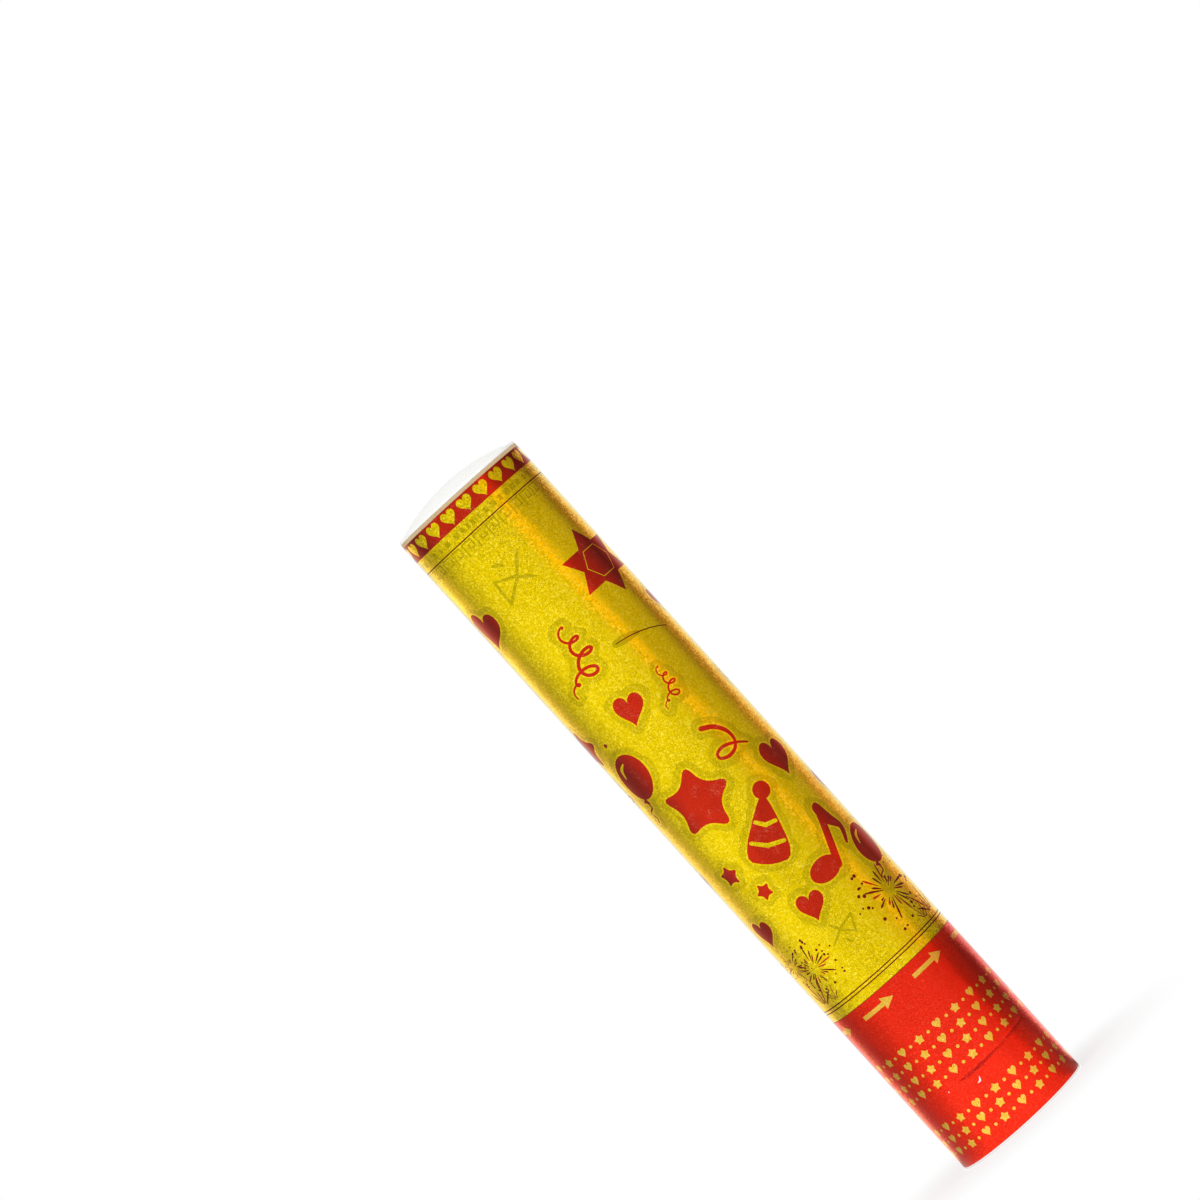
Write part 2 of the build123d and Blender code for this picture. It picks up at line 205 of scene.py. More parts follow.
class EffectGroup(Wiring):
    """Wires the node group of one effect."""

    crystal_share = 0.6
    wave_scale = 90.0
    scratch_turns = ((0.5, 0.3, 0.9), (-0.7, 0.6, -0.4))
    scratch_stretch = (1.0, 1.0, 0.2)
    scratch_edges = (0.004, 0.014)
    scratch_run_share = 0.35
    scratch_run_edges = (0.5, 0.62)
    fibre_turns = ((0.1, 0.2, 0.0), (0.9, 0.4, 0.7), (-0.7, 0.9, -0.5), (1.5, -0.6, 0.3))
    fibre_stretch = (1.0, 1.0, 0.16)
    shive_edges = (0.66, 0.72)

    def ends(self, takes: Sequence[str], gives: Sequence[str]) -> tuple[Sockets, Sockets]:
        """Makes the group's own sockets.

        Args:
            takes: the names of its inputs.
            gives: the names of its outputs.

        Returns:
            The inputs to take from, and the outputs to feed.
        """
        for way, names in (("INPUT", takes), ("OUTPUT", gives)):
            for name in names:
                kind = "NodeSocketVector" if name == "Normal" else "NodeSocketFloat"
                self.tree.interface.new_socket(name, in_out=way, socket_type=kind)
        return self.node("NodeGroupInput").outputs, self.node("NodeGroupOutput").inputs

    def grain(self) -> None:
        """Fine crystals of film, each with its own tone and tilt, on slow waves along the lay."""
        given, result = self.ends(("Scale", "Tilt", "Crinkle", "Lay"), ("Tone", "Height", "Normal"))
        own = self.place()
        cells = self.node("TexVoronoi", {"Vector": own, "Scale": given["Scale"]}).outputs["Color"]
        tone = self.node("SeparateColor", {0: cells}).outputs[0]
        fine = self.noise(given["Scale"], 2.0, own)
        rest = self.sum("MULTIPLY", fine, 1.0 - self.crystal_share)
        self.feed(result["Tone"], self.sum("MULTIPLY_ADD", tone, self.crystal_share, rest))
        lay = self.node("CombineXYZ", {0: 1.0, 1: 1.0, 2: given["Lay"]}).outputs[0]
        waves = self.noise(self.wave_scale, 1.5, self.vector("MULTIPLY", own, lay))
        self.feed(result["Height"], self.sum("MULTIPLY_ADD", waves, given["Crinkle"], fine))
        lean = self.vector("SUBTRACT", cells, (0.5, 0.5, 0.5))
        lean = self.node("VectorMath", {0: lean, "Scale": given["Tilt"]}, operation="SCALE").outputs[0]
        facing = self.node("NewGeometry").outputs["Normal"]
        self.feed(result["Normal"], self.vector("NORMALIZE", self.vector("ADD", facing, lean)))

    def mottle(self) -> None:
        """Soft clouds of lighter and darker tone."""
        given, result = self.ends(("Scale", "Contrast"), ("Tone",))
        tone = self.swing(self.noise(given["Scale"], 4.0), given["Contrast"], 0.5)
        self.feed(result["Tone"], self.sum("MINIMUM", self.sum("MAXIMUM", tone, 0.0), 1.0))

    def scratches(self) -> None:
        """Hair-fine scratches in two directions, broken up into short runs."""
        given, result = self.ends(("Scale", "Amount"), ("Mask",))
        masks = []
        for turn in self.scratch_turns:
            lines = self.noise(given["Scale"], 1.0, self.place(self.scratch_stretch, turn))
            off_line = self.sum("ABSOLUTE", self.sum("SUBTRACT", lines, 0.5))
            masks.append(self.span(off_line, self.scratch_edges, (1.0, 0.0)))
        runs = self.noise(self.sum("MULTIPLY", given["Scale"], self.scratch_run_share), 2.0)
        broken = self.sum("MULTIPLY", self.sum("MAXIMUM", *masks), self.span(runs, self.scratch_run_edges))
        self.feed(result["Mask"], self.sum("MULTIPLY", broken, given["Amount"]))

    def fibres(self) -> None:
        """Short felted fibres that lie several ways, with the odd dark shive."""
        given, result = self.ends(("Scale", "Shives"), ("Tone", "Height"))
        places = [self.place(self.fibre_stretch, turn) for turn in self.fibre_turns]
        layers = [self.noise(given["Scale"], 3.0, place) for place in places]
        felt = self.sum("ADD", self.sum("MAXIMUM", *layers[:2]), self.sum("MINIMUM", *layers[2:]))
        tone = self.sum("MULTIPLY", felt, 0.5)
        shives = self.sum("MULTIPLY", self.span(layers[1], self.shive_edges), given["Shives"])
        self.feed(result["Tone"], self.sum("SUBTRACT", tone, shives))
        self.feed(result["Height"], tone)


class Effect(Enum):
    """Surface effects that several finishes share, each one a node group."""

    GRAIN = "Foil grain"
    MOTTLE = "Mottle"
    SCRATCHES = "Hair scratches"
    FIBRES = "Paper fibres"

    def group(self) -> bpy.types.NodeTree:
        """Finds the effect's node group, or builds it the first time.

        Returns:
            The node group.
        """
        tree = bpy.data.node_groups.get(self.value)
        if tree is None:
            tree = bpy.data.node_groups.new(self.value, "ShaderNodeTree")
            getattr(EffectGroup(tree), self.name.lower())()
        return tree


# Finishes


@dataclass(frozen=True)
class Clouds:
    """Slow changes of tone: how fine they are, how hard their edges are and how deep they go."""

    scale: float
    contrast: float
    depth: float

    def tone(self, wiring: Wiring) -> Socket:
        """Gives the clouds' tone."""
        return wiring.effect(Effect.MOTTLE, Scale=self.scale, Contrast=self.contrast)["Tone"]

    def level(self, wiring: Wiring, base: Entry = 1.0) -> Socket:
        """Moves a level with the clouds."""
        return wiring.swing(self.tone(wiring), self.depth, base)


@dataclass(frozen=True)
class Grain:
    """Crystals of film: how fine they are, how far they tilt, and the height and lay of their waves."""

    scale: float = 2600.0
    tilt: float = 0.1
    crinkle: float = 6.0
    lay: float = 0.3

    def outputs(self, wiring: Wiring) -> Sockets:
        """Gives the grain's tone, height and normal."""
        inputs = {"Scale": self.scale, "Tilt": self.tilt, "Crinkle": self.crinkle, "Lay": self.lay}
        return wiring.effect(Effect.GRAIN, **inputs)


@dataclass(frozen=True)
class Scratches:
    """Hair scratches: how fine they are and how strong."""

    scale: float
    amount: float

    def mask(self, wiring: Wiring) -> Socket:
        """Gives the scratches' mask."""
        return wiring.effect(Effect.SCRATCHES, Scale=self.scale, Amount=self.amount)["Mask"]


@dataclass(frozen=True)
class Finish:
    """What every finish has: a name, a colour and a gloss."""

    name: str
    colour: Colour
    roughness: float = 0.5

    def make(self) -> bpy.types.Material:
        """Finds the finish's material, or makes it the first time.

        Returns:
            The material.
        """
        made = bpy.data.materials.get(self.name)
        if made is None:
            made = bpy.data.materials.new(self.name)
            made.use_nodes = True
            surface = Surface(made)
            surface.put("Roughness", self.roughness)
            self.shade(surface)
        return made

    def shade(self, surface: Surface) -> None:
        """Wires the finish's own detail into a surface."""
        raise NotImplementedError


@dataclass(frozen=True)
class Foil(Finish):
    """Metallised film with a fine crystal grain on slow waves, whose tilted crystals glint, and painted
    glints: paler specks mixed into its colour.
    """

    sparkle: float = 0.3
    grain: Grain = Grain()
    relief: float = 0.12
    clouds: Clouds = Clouds(70.0, 1.6, 0.12)
    # painted glints: the paler colour that some crystals are mixed towards, and how far
    painted_glint: Colour = (1.0, 0.92, 0.8)
    painted_glint_share: float = 0.1
    painted_glint_edges: Point = (0.62, 0.8)

    def shade(self, surface: Surface) -> None:
        """Wires the grain, its painted glints (paler specks in its colour) and the slow change of tone.

        Args:
            surface: the material's surface.
        """
        grain = self.grain.outputs(surface)
        level = self.clouds.level(surface, surface.swing(grain["Tone"], self.sparkle))
        # painted glints: crystals in a band of tones are mixed towards the paler glint colour
        painted_glints = surface.span(grain["Tone"], self.painted_glint_edges, (0.0, self.painted_glint_share))
        surface.put("Base Color", surface.mix(painted_glints, surface.brighten(self.colour, level), self.painted_glint))
        surface.put("Metallic", 1.0)
        surface.relief(self.relief, Height=grain["Height"], Normal=grain["Normal"])


@dataclass(frozen=True)
class Ink(Finish):
    """Translucent ink over foil, with fine pale scratches and a thin tinted lacquer that weighs in at a slant
    and darkens the ink towards its edges in view, as painted shade.
    """

    grain: Grain = Grain(2600.0, 0.0, 8.0, 0.3)
    grain_depth: float = 0.24
    relief: float = 0.1
    clouds: Clouds = Clouds(160.0, 2.0, 0.22)
    scratches: Scratches = Scratches(700.0, 0.35)
    scratch_colour: Colour = (0.9, 0.3, 0.2)
    # the lacquer's tint and where it weighs in at a slant: painted shade towards the ink's edges in view
    lacquer_shade_tint: Colour = (0.64, 0.5, 0.5)
    lacquer_index: float = 1.22
    lacquer_shade_edges: Point = (0.05, 0.45)
    rim: Colour = (1.0, 0.5, 0.42)

    def shade(self, surface: Surface) -> None:
        """Wires the ink's uneven coat, its scratches and its lacquer, whose tint at a slant is painted shade.

        Args:
            surface: the material's surface.
        """
        grain = self.grain.outputs(surface)
        coat = surface.swing(grain["Tone"], self.grain_depth, self.clouds.level(surface))
        inked = surface.brighten(self.colour, coat)
        surface.put("Base Color", surface.mix(self.scratches.mask(surface), inked, self.scratch_colour))
        surface.put("Metallic", 1.0)
        # painted shade: the tinted lacquer weighs in at a slant and darkens the ink towards its edges in view
        facing = surface.node("LayerWeight", {"Blend": 0.5}).outputs["Facing"]
        surface.put("Coat Weight", surface.span(facing, self.lacquer_shade_edges))
        surface.put("Coat Tint", opaque(self.lacquer_shade_tint))
        surface.put("Coat IOR", self.lacquer_index)
        surface.put("Specular Tint", opaque(self.rim))
        surface.relief(self.relief, Height=grain["Height"])


@dataclass(frozen=True)
class Moulding(Finish):
    """Moulded plastic or rubber with a faint orange-peel skin and handling scratches."""

    skin: float = 0.06
    skin_scale: float = 900.0
    skin_depth: float = 0.0002
    clouds: Clouds = Clouds(220.0, 1.8, 0.08)
    gloss_change: float = 0.1
    scratches: Scratches = Scratches(260.0, 0.25)
    scratch_shade: float = -0.12
    scratch_dulling: float = 0.2

    def shade(self, surface: Surface) -> None:
        """Wires the skin's tone, gloss and relief.

        Args:
            surface: the material's surface.
        """
        tone, scratches = self.clouds.tone(surface), self.scratches.mask(surface)
        level = surface.swing(tone, self.clouds.depth)
        level = surface.sum("MULTIPLY_ADD", scratches, self.scratch_shade, level)
        surface.put("Base Color", surface.brighten(self.colour, level))
        gloss = surface.swing(tone, self.gloss_change, self.roughness)
        surface.put("Roughness", surface.sum("MULTIPLY_ADD", scratches, self.scratch_dulling, gloss))
        surface.relief(self.skin, self.skin_depth, Height=surface.noise(self.skin_scale, 2.0))


@dataclass(frozen=True)
class Board(Finish):
    """Wound card or grey board: fibres, and the odd dark shive."""

    shives: float = 0.5
    fibre_scale: float = 900.0
    fibre_depth: float = 0.7
    relief: float = 0.35
    clouds: Clouds = Clouds(60.0, 1.5, 0.15)

    def shade(self, surface: Surface) -> None:
        """Wires the fibres' tone and relief, and the clouds over them.

        Args:
            surface: the material's surface.
        """
        fibres = surface.effect(Effect.FIBRES, Scale=self.fibre_scale, Shives=self.shives)
        level = self.clouds.level(surface, surface.swing(fibres["Tone"], self.fibre_depth))
        surface.put("Base Color", surface.brighten(self.colour, level))
        surface.relief(self.relief, Height=fibres["Height"])


@dataclass(frozen=True)
class Tissue(Board):
    """Thin dyed tissue paper, with finer fibres than board and uneven dye."""

    shives: float = 0.0
    fibre_scale: float = 1400.0
    fibre_depth: float = 0.4
    relief: float = 0.3
    clouds: Clouds = Clouds(180.0, 2.2, 0.3)


@dataclass(frozen=True)
class BrightMetal(Finish):
    """Drawn or pressed metal with clouds in its gloss and a few scratches."""

    scratches: Scratches = Scratches(900.0, 0.8)
    scratch_shade: float = -0.2
    clouds: Clouds = Clouds(400.0, 1.5, 0.16)

    def shade(self, surface: Surface) -> None:
        """Wires the scratches into the tone and the clouds into the gloss.

        Args:
            surface: the material's surface.
        """
        level = surface.sum("MULTIPLY_ADD", self.scratches.mask(surface), self.scratch_shade, 1.0)
        surface.put("Base Color", surface.brighten(self.colour, level))
        gloss = surface.sum("MULTIPLY_ADD", self.clouds.tone(surface), self.clouds.depth, self.roughness)
        surface.put("Roughness", gloss)
        surface.put("Metallic", 1.0)


# paler colours for the foils' painted glints
GOLD_PAINTED_GLINT = (1.0, 0.9, 0.13)
RED_PAINTED_GLINT = (1.0, 0.2, 0.12)
GOLD_GRAIN = Grain(2000.0, 0.12, 16.0, 0.15)
GHOST_GRAIN = Grain(1500.0, 0.1, 16.0, 0.15)
RED_GRAIN = Grain(2600.0, 0.1, 8.0, 0.55)

GOLD_FOIL = Foil(
    "Gold label foil", (0.85, 0.62, 0.003), 0.1, 0.5, GOLD_GRAIN, relief=0.06, painted_glint=GOLD_PAINTED_GLINT, painted_glint_share=0.3
)
# a darker, more olive band of foil round each print
HALO_FOIL = replace(
    GOLD_FOIL, name="Darker foil round the print", colour=(0.665, 0.495, 0.003), roughness=0.12, painted_glint_share=0.16
)
# a darker olive foil for faint marks that show through and for a band along a string
GHOST_FOIL = Foil(
    "Darker olive label foil", (0.56, 0.43, 0.003), 0.16, grain=GHOST_GRAIN, relief=0.06, painted_glint=GOLD_PAINTED_GLINT,
    painted_glint_share=0.15,
)
RED_FOIL = Foil("Red label foil", (0.8, 0.025, 0.009), 0.2, 0.24, RED_GRAIN, painted_glint=RED_PAINTED_GLINT)
# a darker red foil for the shade painted along the grip label's crease
CREASE_SHADE_FOIL = Foil("Red foil with painted crease shade", (0.54, 0.015, 0.009), 0.3, 0.6, painted_glint=RED_PAINTED_GLINT)
GOLD_PRINT = Foil("Gold print on red", (0.8, 0.47, 0.05), 0.22, grain=RED_GRAIN)
RED_INK = Ink("Red print", (0.575, 0.026, 0.009), 0.15)
LINE_INK = Ink("Dark red line", (0.2, 0.016, 0.008), 0.32, scratches=Scratches(700.0, 0.05))
BARE_PAPER = Board("Bare label paper", srgb(238, 232, 222), 0.8, shives=0.1)
KRAFT_CARD = Board("Wound kraft card", srgb(202, 176, 134), 0.85)
GREY_BOARD = Board("Grey board", srgb(150, 146, 138), 0.9, shives=0.8)
WHITE_CAP = Moulding(
    "White moulded cap", srgb(247, 247, 244), 0.38, clouds=Clouds(220.0, 1.8, 0.024),
    scratches=Scratches(260.0, 0.1),
)
BOTTLE_PLASTIC = Moulding("Bottle plastic", srgb(214, 222, 226), 0.3)
VALVE_PLASTIC = Moulding("Valve housing plastic", srgb(232, 228, 214), 0.42)
COLLAR_PLASTIC = Moulding("Cam collar plastic", srgb(52, 58, 66), 0.4)
WASHER_PLASTIC = Moulding("Slip washer plastic", srgb(240, 238, 228), 0.35)
PLUG_PLASTIC = Moulding("Release plug plastic", srgb(196, 44, 36), 0.38)
BLACK_RUBBER = Moulding("Black rubber", srgb(30, 30, 32), 0.7, skin=0.15)
PIN_STEEL = BrightMetal("Ground pin steel", srgb(196, 198, 200), 0.18)
CLIP_STEEL = BrightMetal("Spring clip steel", srgb(150, 152, 156), 0.28)
RETAINER_ALUMINIUM = BrightMetal("Pressed aluminium", srgb(214, 214, 216), 0.3)

SLIP_DYES = {
    "gold": srgb(240, 216, 138),
    "red": srgb(206, 36, 34),
    "green": srgb(22, 142, 92),
    "purple": srgb(86, 36, 152),
    "magenta": srgb(214, 22, 140),
}
STREAMER_FOILS = {"red": srgb(196, 22, 20), "green": srgb(28, 152, 52)}
STAR_FOILS = {
    "red": srgb(226, 48, 48),
    "gold": srgb(238, 206, 52),
    "blue": srgb(22, 104, 194),
    "silver": srgb(206, 208, 212),
}


# Pieces


def put_in_scene(name: str, data: bpy.types.ID) -> bpy.types.Object:
    """Makes an object and links it to the scene.

    Args:
        name: the object's name.
        data: its mesh, lamp or camera.

    Returns:
        The new object.
    """
    made = bpy.data.objects.new(name, data)
    bpy.context.scene.collection.objects.link(made)
    return made


@dataclass(frozen=True)
class Piece:
    """A piece of the part: its name, its body and the CAD node that it replaces; its material slot is not
    used.
    """

    name: str
    body: str
    node: str
    slot: str

    def place(self, shape: Mesh, finishes: Sequence[Finish], edge: float | None = 32.0) -> bpy.types.Mesh:
        """Makes the piece from a closed mesh, where the CAD puts it, and joins it to its body.

        Args:
            shape: its vertices, in millimetres, and its faces.
            finishes: its finishes, in the order of its material slots.
            edge: the angle in degrees over which an edge is sharp, or None to leave the shading.

        Returns:
            The piece's mesh.
        """
        vertices, faces = shape
        mesh = bpy.data.meshes.new(self.name)
        mesh.from_pydata([v * MM for v in vertices], [], faces)
        mesh.validate()
        for finish in finishes:
            mesh.materials.append(finish.make())
        made = put_in_scene(self.name, mesh)
        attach(made, self.body)
        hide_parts(self.node)
        if edge is not None:
            solid = bmesh.new()
            solid.from_mesh(mesh)
            bmesh.ops.recalc_face_normals(solid, faces=solid.faces)
            solid.to_mesh(mesh)
            solid.free()
            mesh.shade_smooth()
            mesh.set_sharp_from_angle(angle=math.radians(edge))
        LOG.info("%s: %d faces on %s", self.name, len(mesh.polygons), self.body)
        return mesh


def dress_node(node: str, finish: Finish) -> None:
    """Gives a CAD node that stays in view its finish.

    Args:
        node: the node's name.
        finish: its finish.
    """
    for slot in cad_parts[node].material_slots:
        slot.material = finish.make()
    LOG.info("%s: dressed as %s", node, finish.name)


def corners_of(node: str) -> tuple[Vector, Vector]:
    """Gives a node's lowest and highest corners in millimetres."""
    low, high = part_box(node)
    return low / MM, high / MM


def solids_of(node: str) -> list[np.ndarray]:
    """Splits a CAD node into its separate solids.

    Args:
        node: the node's name.

    Returns:
        Each solid's corner points in millimetres, from the lowest solid up.
    """
    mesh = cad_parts[node].data
    places = np.array([v.co for v in mesh.vertices]) / MM
    keys: dict[tuple, int] = {}
    welded = [keys.setdefault(tuple(np.round(p, 3)), len(keys)) for p in places]
    leader = list(range(len(keys)))

    def top(index: int) -> int:
        """Finds the solid that a point belongs to.

        Args:
            index: the point's number.

        Returns:
            The number of the point that leads its solid.
        """
        while leader[index] != index:
            leader[index] = leader[leader[index]]
            index = leader[index]
        return index

    for edge in mesh.edges:
        leader[top(welded[edge.vertices[0]])] = top(welded[edge.vertices[1]])
    points: dict[int, list] = {}
    for key, index in keys.items():
        points.setdefault(top(index), []).append(key)
    solids = (np.array(p) for p in points.values())
    return sorted(solids, key=lambda p: tuple(np.round(p.min(0)[::-1], 2)))


def filleted(corners: Sequence[Place], steps: int = 5, most: float = 0.48) -> Outline:
    """Rounds the corners of a closed outline.

    Args:
        corners: each corner's radius, height and fillet, in millimetres.
        steps: points on each fillet.
        most: the share of a side that a fillet may take up.

    Returns:
        The outline's points.
    """
    outline: Outline = []
    for index, (radius, height, fillet) in enumerate(corners):
        if fillet <= 0.0:
            outline.append((radius, height))
            continue
        here = Vector((radius, height))
        before = Vector(corners[index - 1][:2]) - here
        after = Vector(corners[(index + 1) % len(corners)][:2]) - here
        half = before.angle(after) / 2.0
        reach = min(fillet / math.tan(half), most * before.length, most * after.length)
        start, end = before.normalized() * reach, after.normalized() * reach
        for share in (step / steps for step in range(steps + 1)):
            bend = here + start * (1.0 - share) ** 2 + end * share ** 2
            outline.append((bend.x, bend.y))
    return outline


def turned(outline: Outline, segments: int = 160) -> Mesh:
    """Turns a closed outline of radius and height about the tube's axis.

    Args:
        outline: the section, in millimetres; points on the axis become poles.
        segments: steps round the turn.

    Returns:
        The closed mesh.
    """
    vertices: list[Vector] = []
    rings: list[list[int]] = []
    for radius, height in outline:
        count = 1 if radius < SAME_PLACE else segments
        rings.append([len(vertices) + step % count for step in range(segments)])
        angles = [FULL_TURN * step / segments for step in range(count)]
        vertices += [Vector((*polar(radius, angle), height)) for angle in angles]
    faces = []
    for ring, following in zip(rings, rings[1:] + rings[:1]):
        for step in range(segments):
            after = (step + 1) % segments
            loop = [ring[step], ring[after], following[after], following[step]]
            corners = list(dict.fromkeys(loop))
            if len(corners) > 2:
                faces.append(corners)
    return vertices, faces


def joined(shapes: Iterable[Mesh]) -> Mesh:
    """Puts several meshes into one.

    Args:
        shapes: the meshes.

    Returns:
        One mesh with all their vertices and faces.
    """
    vertices: list[Vector] = []
    faces: list[list[int]] = []
    for points, loops in shapes:
        faces += [[i + len(vertices) for i in loop] for loop in loops]
        vertices += points
    return vertices, faces


# Drawings for the printed labels


class Print(Enum):
    """What a patch of a label shows."""

    GROUND = 0
    MAIN = 1
    LINE = 2
    GHOST = 3
    BARE = 4
    HALO = 5


@dataclass(frozen=True)
class Patch:
    """One flat shape of a drawing. A later patch covers an earlier one."""

    outline: tuple[Point, ...]
    shows: Print
    halo: bool


def circle(
    across: float, along: float, wide: float, tall: float | None = None, tilt: float = 0.0, points: int = 28
) -> Outline:
    """Gives the outline of a circle or an ellipse.

    Args:
        across: the middle's place across.
        along: its place along.
        wide: the radius across.
        tall: the radius along, if it differs.
        tilt: clockwise turn in degrees.
        points: points on the outline.

    Returns:
        The outline.
    """
    tall = wide if tall is None else tall
    cosine, sine = polar(1.0, math.radians(tilt))
    outline = []
    for step in range(points):
        right, up = polar(1.0, FULL_TURN * step / points)
        x, y = wide * right, tall * up
        outline.append((across + x * cosine + y * sine, along - x * sine + y * cosine))
    return outline


def box_outline(left: float, right: float, low: float, high: float) -> Outline:
    """Gives the outline of an upright box."""
    return [(left, low), (right, low), (right, high), (left, high)]


def softened(outline: Outline, rounds: int = 2, share: float = 0.22) -> Outline:
    """Cuts an outline's corners again and again until they are round.

    Args:
        outline: the outline.
        rounds: how often they are cut.
        share: the part of each side that a cut takes off.

    Returns:
        The rounder outline.
    """
    for _ in range(rounds):
        cut: Outline = []
        for (x, y), (u, v) in zip(outline, outline[1:] + outline[:1]):
            for near, far in ((1.0 - share, share), (share, 1.0 - share)):
                cut.append((near * x + far * u, near * y + far * v))
        outline = cut
    return outline


def flowing(points: Sequence[Point], steps: int = 7) -> list[Point]:
    """Runs a smooth line through a few points.

    Args:
        points: the points that it passes.
        steps: points for each stretch.

    Returns:
        The line's points.
    """
    held = [points[0], *points, points[-1]]
    line: list[Point] = []
    for stretch in zip(held, held[1:], held[2:], held[3:]):
        for t in (step / steps for step in range(steps)):
            line.append(tuple(
                0.5 * (2 * q + (r - p) * t + (2 * p - 5 * q + 4 * r - s) * t ** 2
                       + (3 * q - p - 3 * r + s) * t ** 3)
                for p, q, r, s in zip(*stretch)
            ))
    return [*line, points[-1]]


def star_outline(points: int, notch: float, reach: float = 0.5) -> Outline:
    """Gives a star's outline with its first point up."""
    radii = (reach, reach * notch)
    return [polar(radii[k % 2], math.pi / 2.0 + math.pi * k / points) for k in range(2 * points)]


class Drawing:
    """Flat shapes drawn one over the other."""

    def __init__(self) -> None:
        """Starts with nothing drawn."""
        self.patches: list[Patch] = []

    def fill(self, outline: Iterable[Point], shows: Print = Print.MAIN, halo: bool = True) -> "Drawing":
        """Fills one outline."""
        self.patches.append(Patch(tuple(outline), shows, halo and shows is Print.MAIN))
        return self

    def stroke(
        self, line: Sequence[Point], widths: Sequence[float], shows: Print = Print.MAIN, halo: bool = True
    ) -> "Drawing":
        """Draws a line with a width that changes along it.

        Args:
            line: the points along its middle.
            widths: widths spread evenly along it.
            shows: what it is printed with.
            halo: whether it has a halo.

        Returns:
            This drawing.
        """
        count = len(line)
        along = np.linspace(0.0, 1.0, count)
        half = np.interp(along, np.linspace(0.0, 1.0, len(widths)), widths) / 2.0
        sides = []
        for index, (x, y) in enumerate(line):
            before, after = line[max(index - 1, 0)], line[min(index + 1, count - 1)]
            run = Vector((after[0] - before[0], after[1] - before[1])).normalized() * half[index]
            sides.append(((x - run.y, y + run.x), (x + run.y, y - run.x)))
        for first, second in zip(sides, sides[1:]):
            self.fill((first[0], first[1], second[1], second[0]), shows, halo)
        for end, size in ((line[0], half[0]), (line[-1], half[-1])):
            self.fill(circle(*end, size, points=10), shows, halo)
        return self

    def placed(
        self, across: float, along: float, size: float, tilt: float = 0.0, stretch: float = 1.0
    ) -> "Drawing":
        """Gives a copy, scaled, turned clockwise and moved.

        Args:
            across: the middle's place round the tube, in millimetres.
            along: its height.
            size: the scale.
            tilt: clockwise turn in degrees.
            stretch: extra scale across.

        Returns:
            The new drawing.
        """
        cosine, sine = polar(1.0, math.radians(tilt))
        made = Drawing()
        for patch in self.patches:
            outline = tuple(
                (across + size * stretch * (x * cosine + y * sine), along + size * (y * cosine - x * sine))
                for x, y in patch.outline
            )
            made.patches.append(replace(patch, outline=outline))
        return made


class Motif(Enum):
    """The party motifs that are printed."""

    HEART = "heart"
    STAR = "star"
    SIX_STAR = "six_star"
    BALLOON = "balloon"
    PARTY_HAT = "party_hat"
    NOTE = "note"
    CURL = "curl"
    RIBBON = "ribbon"
    BURST = "burst"
    SPRIG = "sprig"
    DOT = "dot"
    ARROW = "arrow"
    SKETCH = "sketch"
    NICK = "nick"


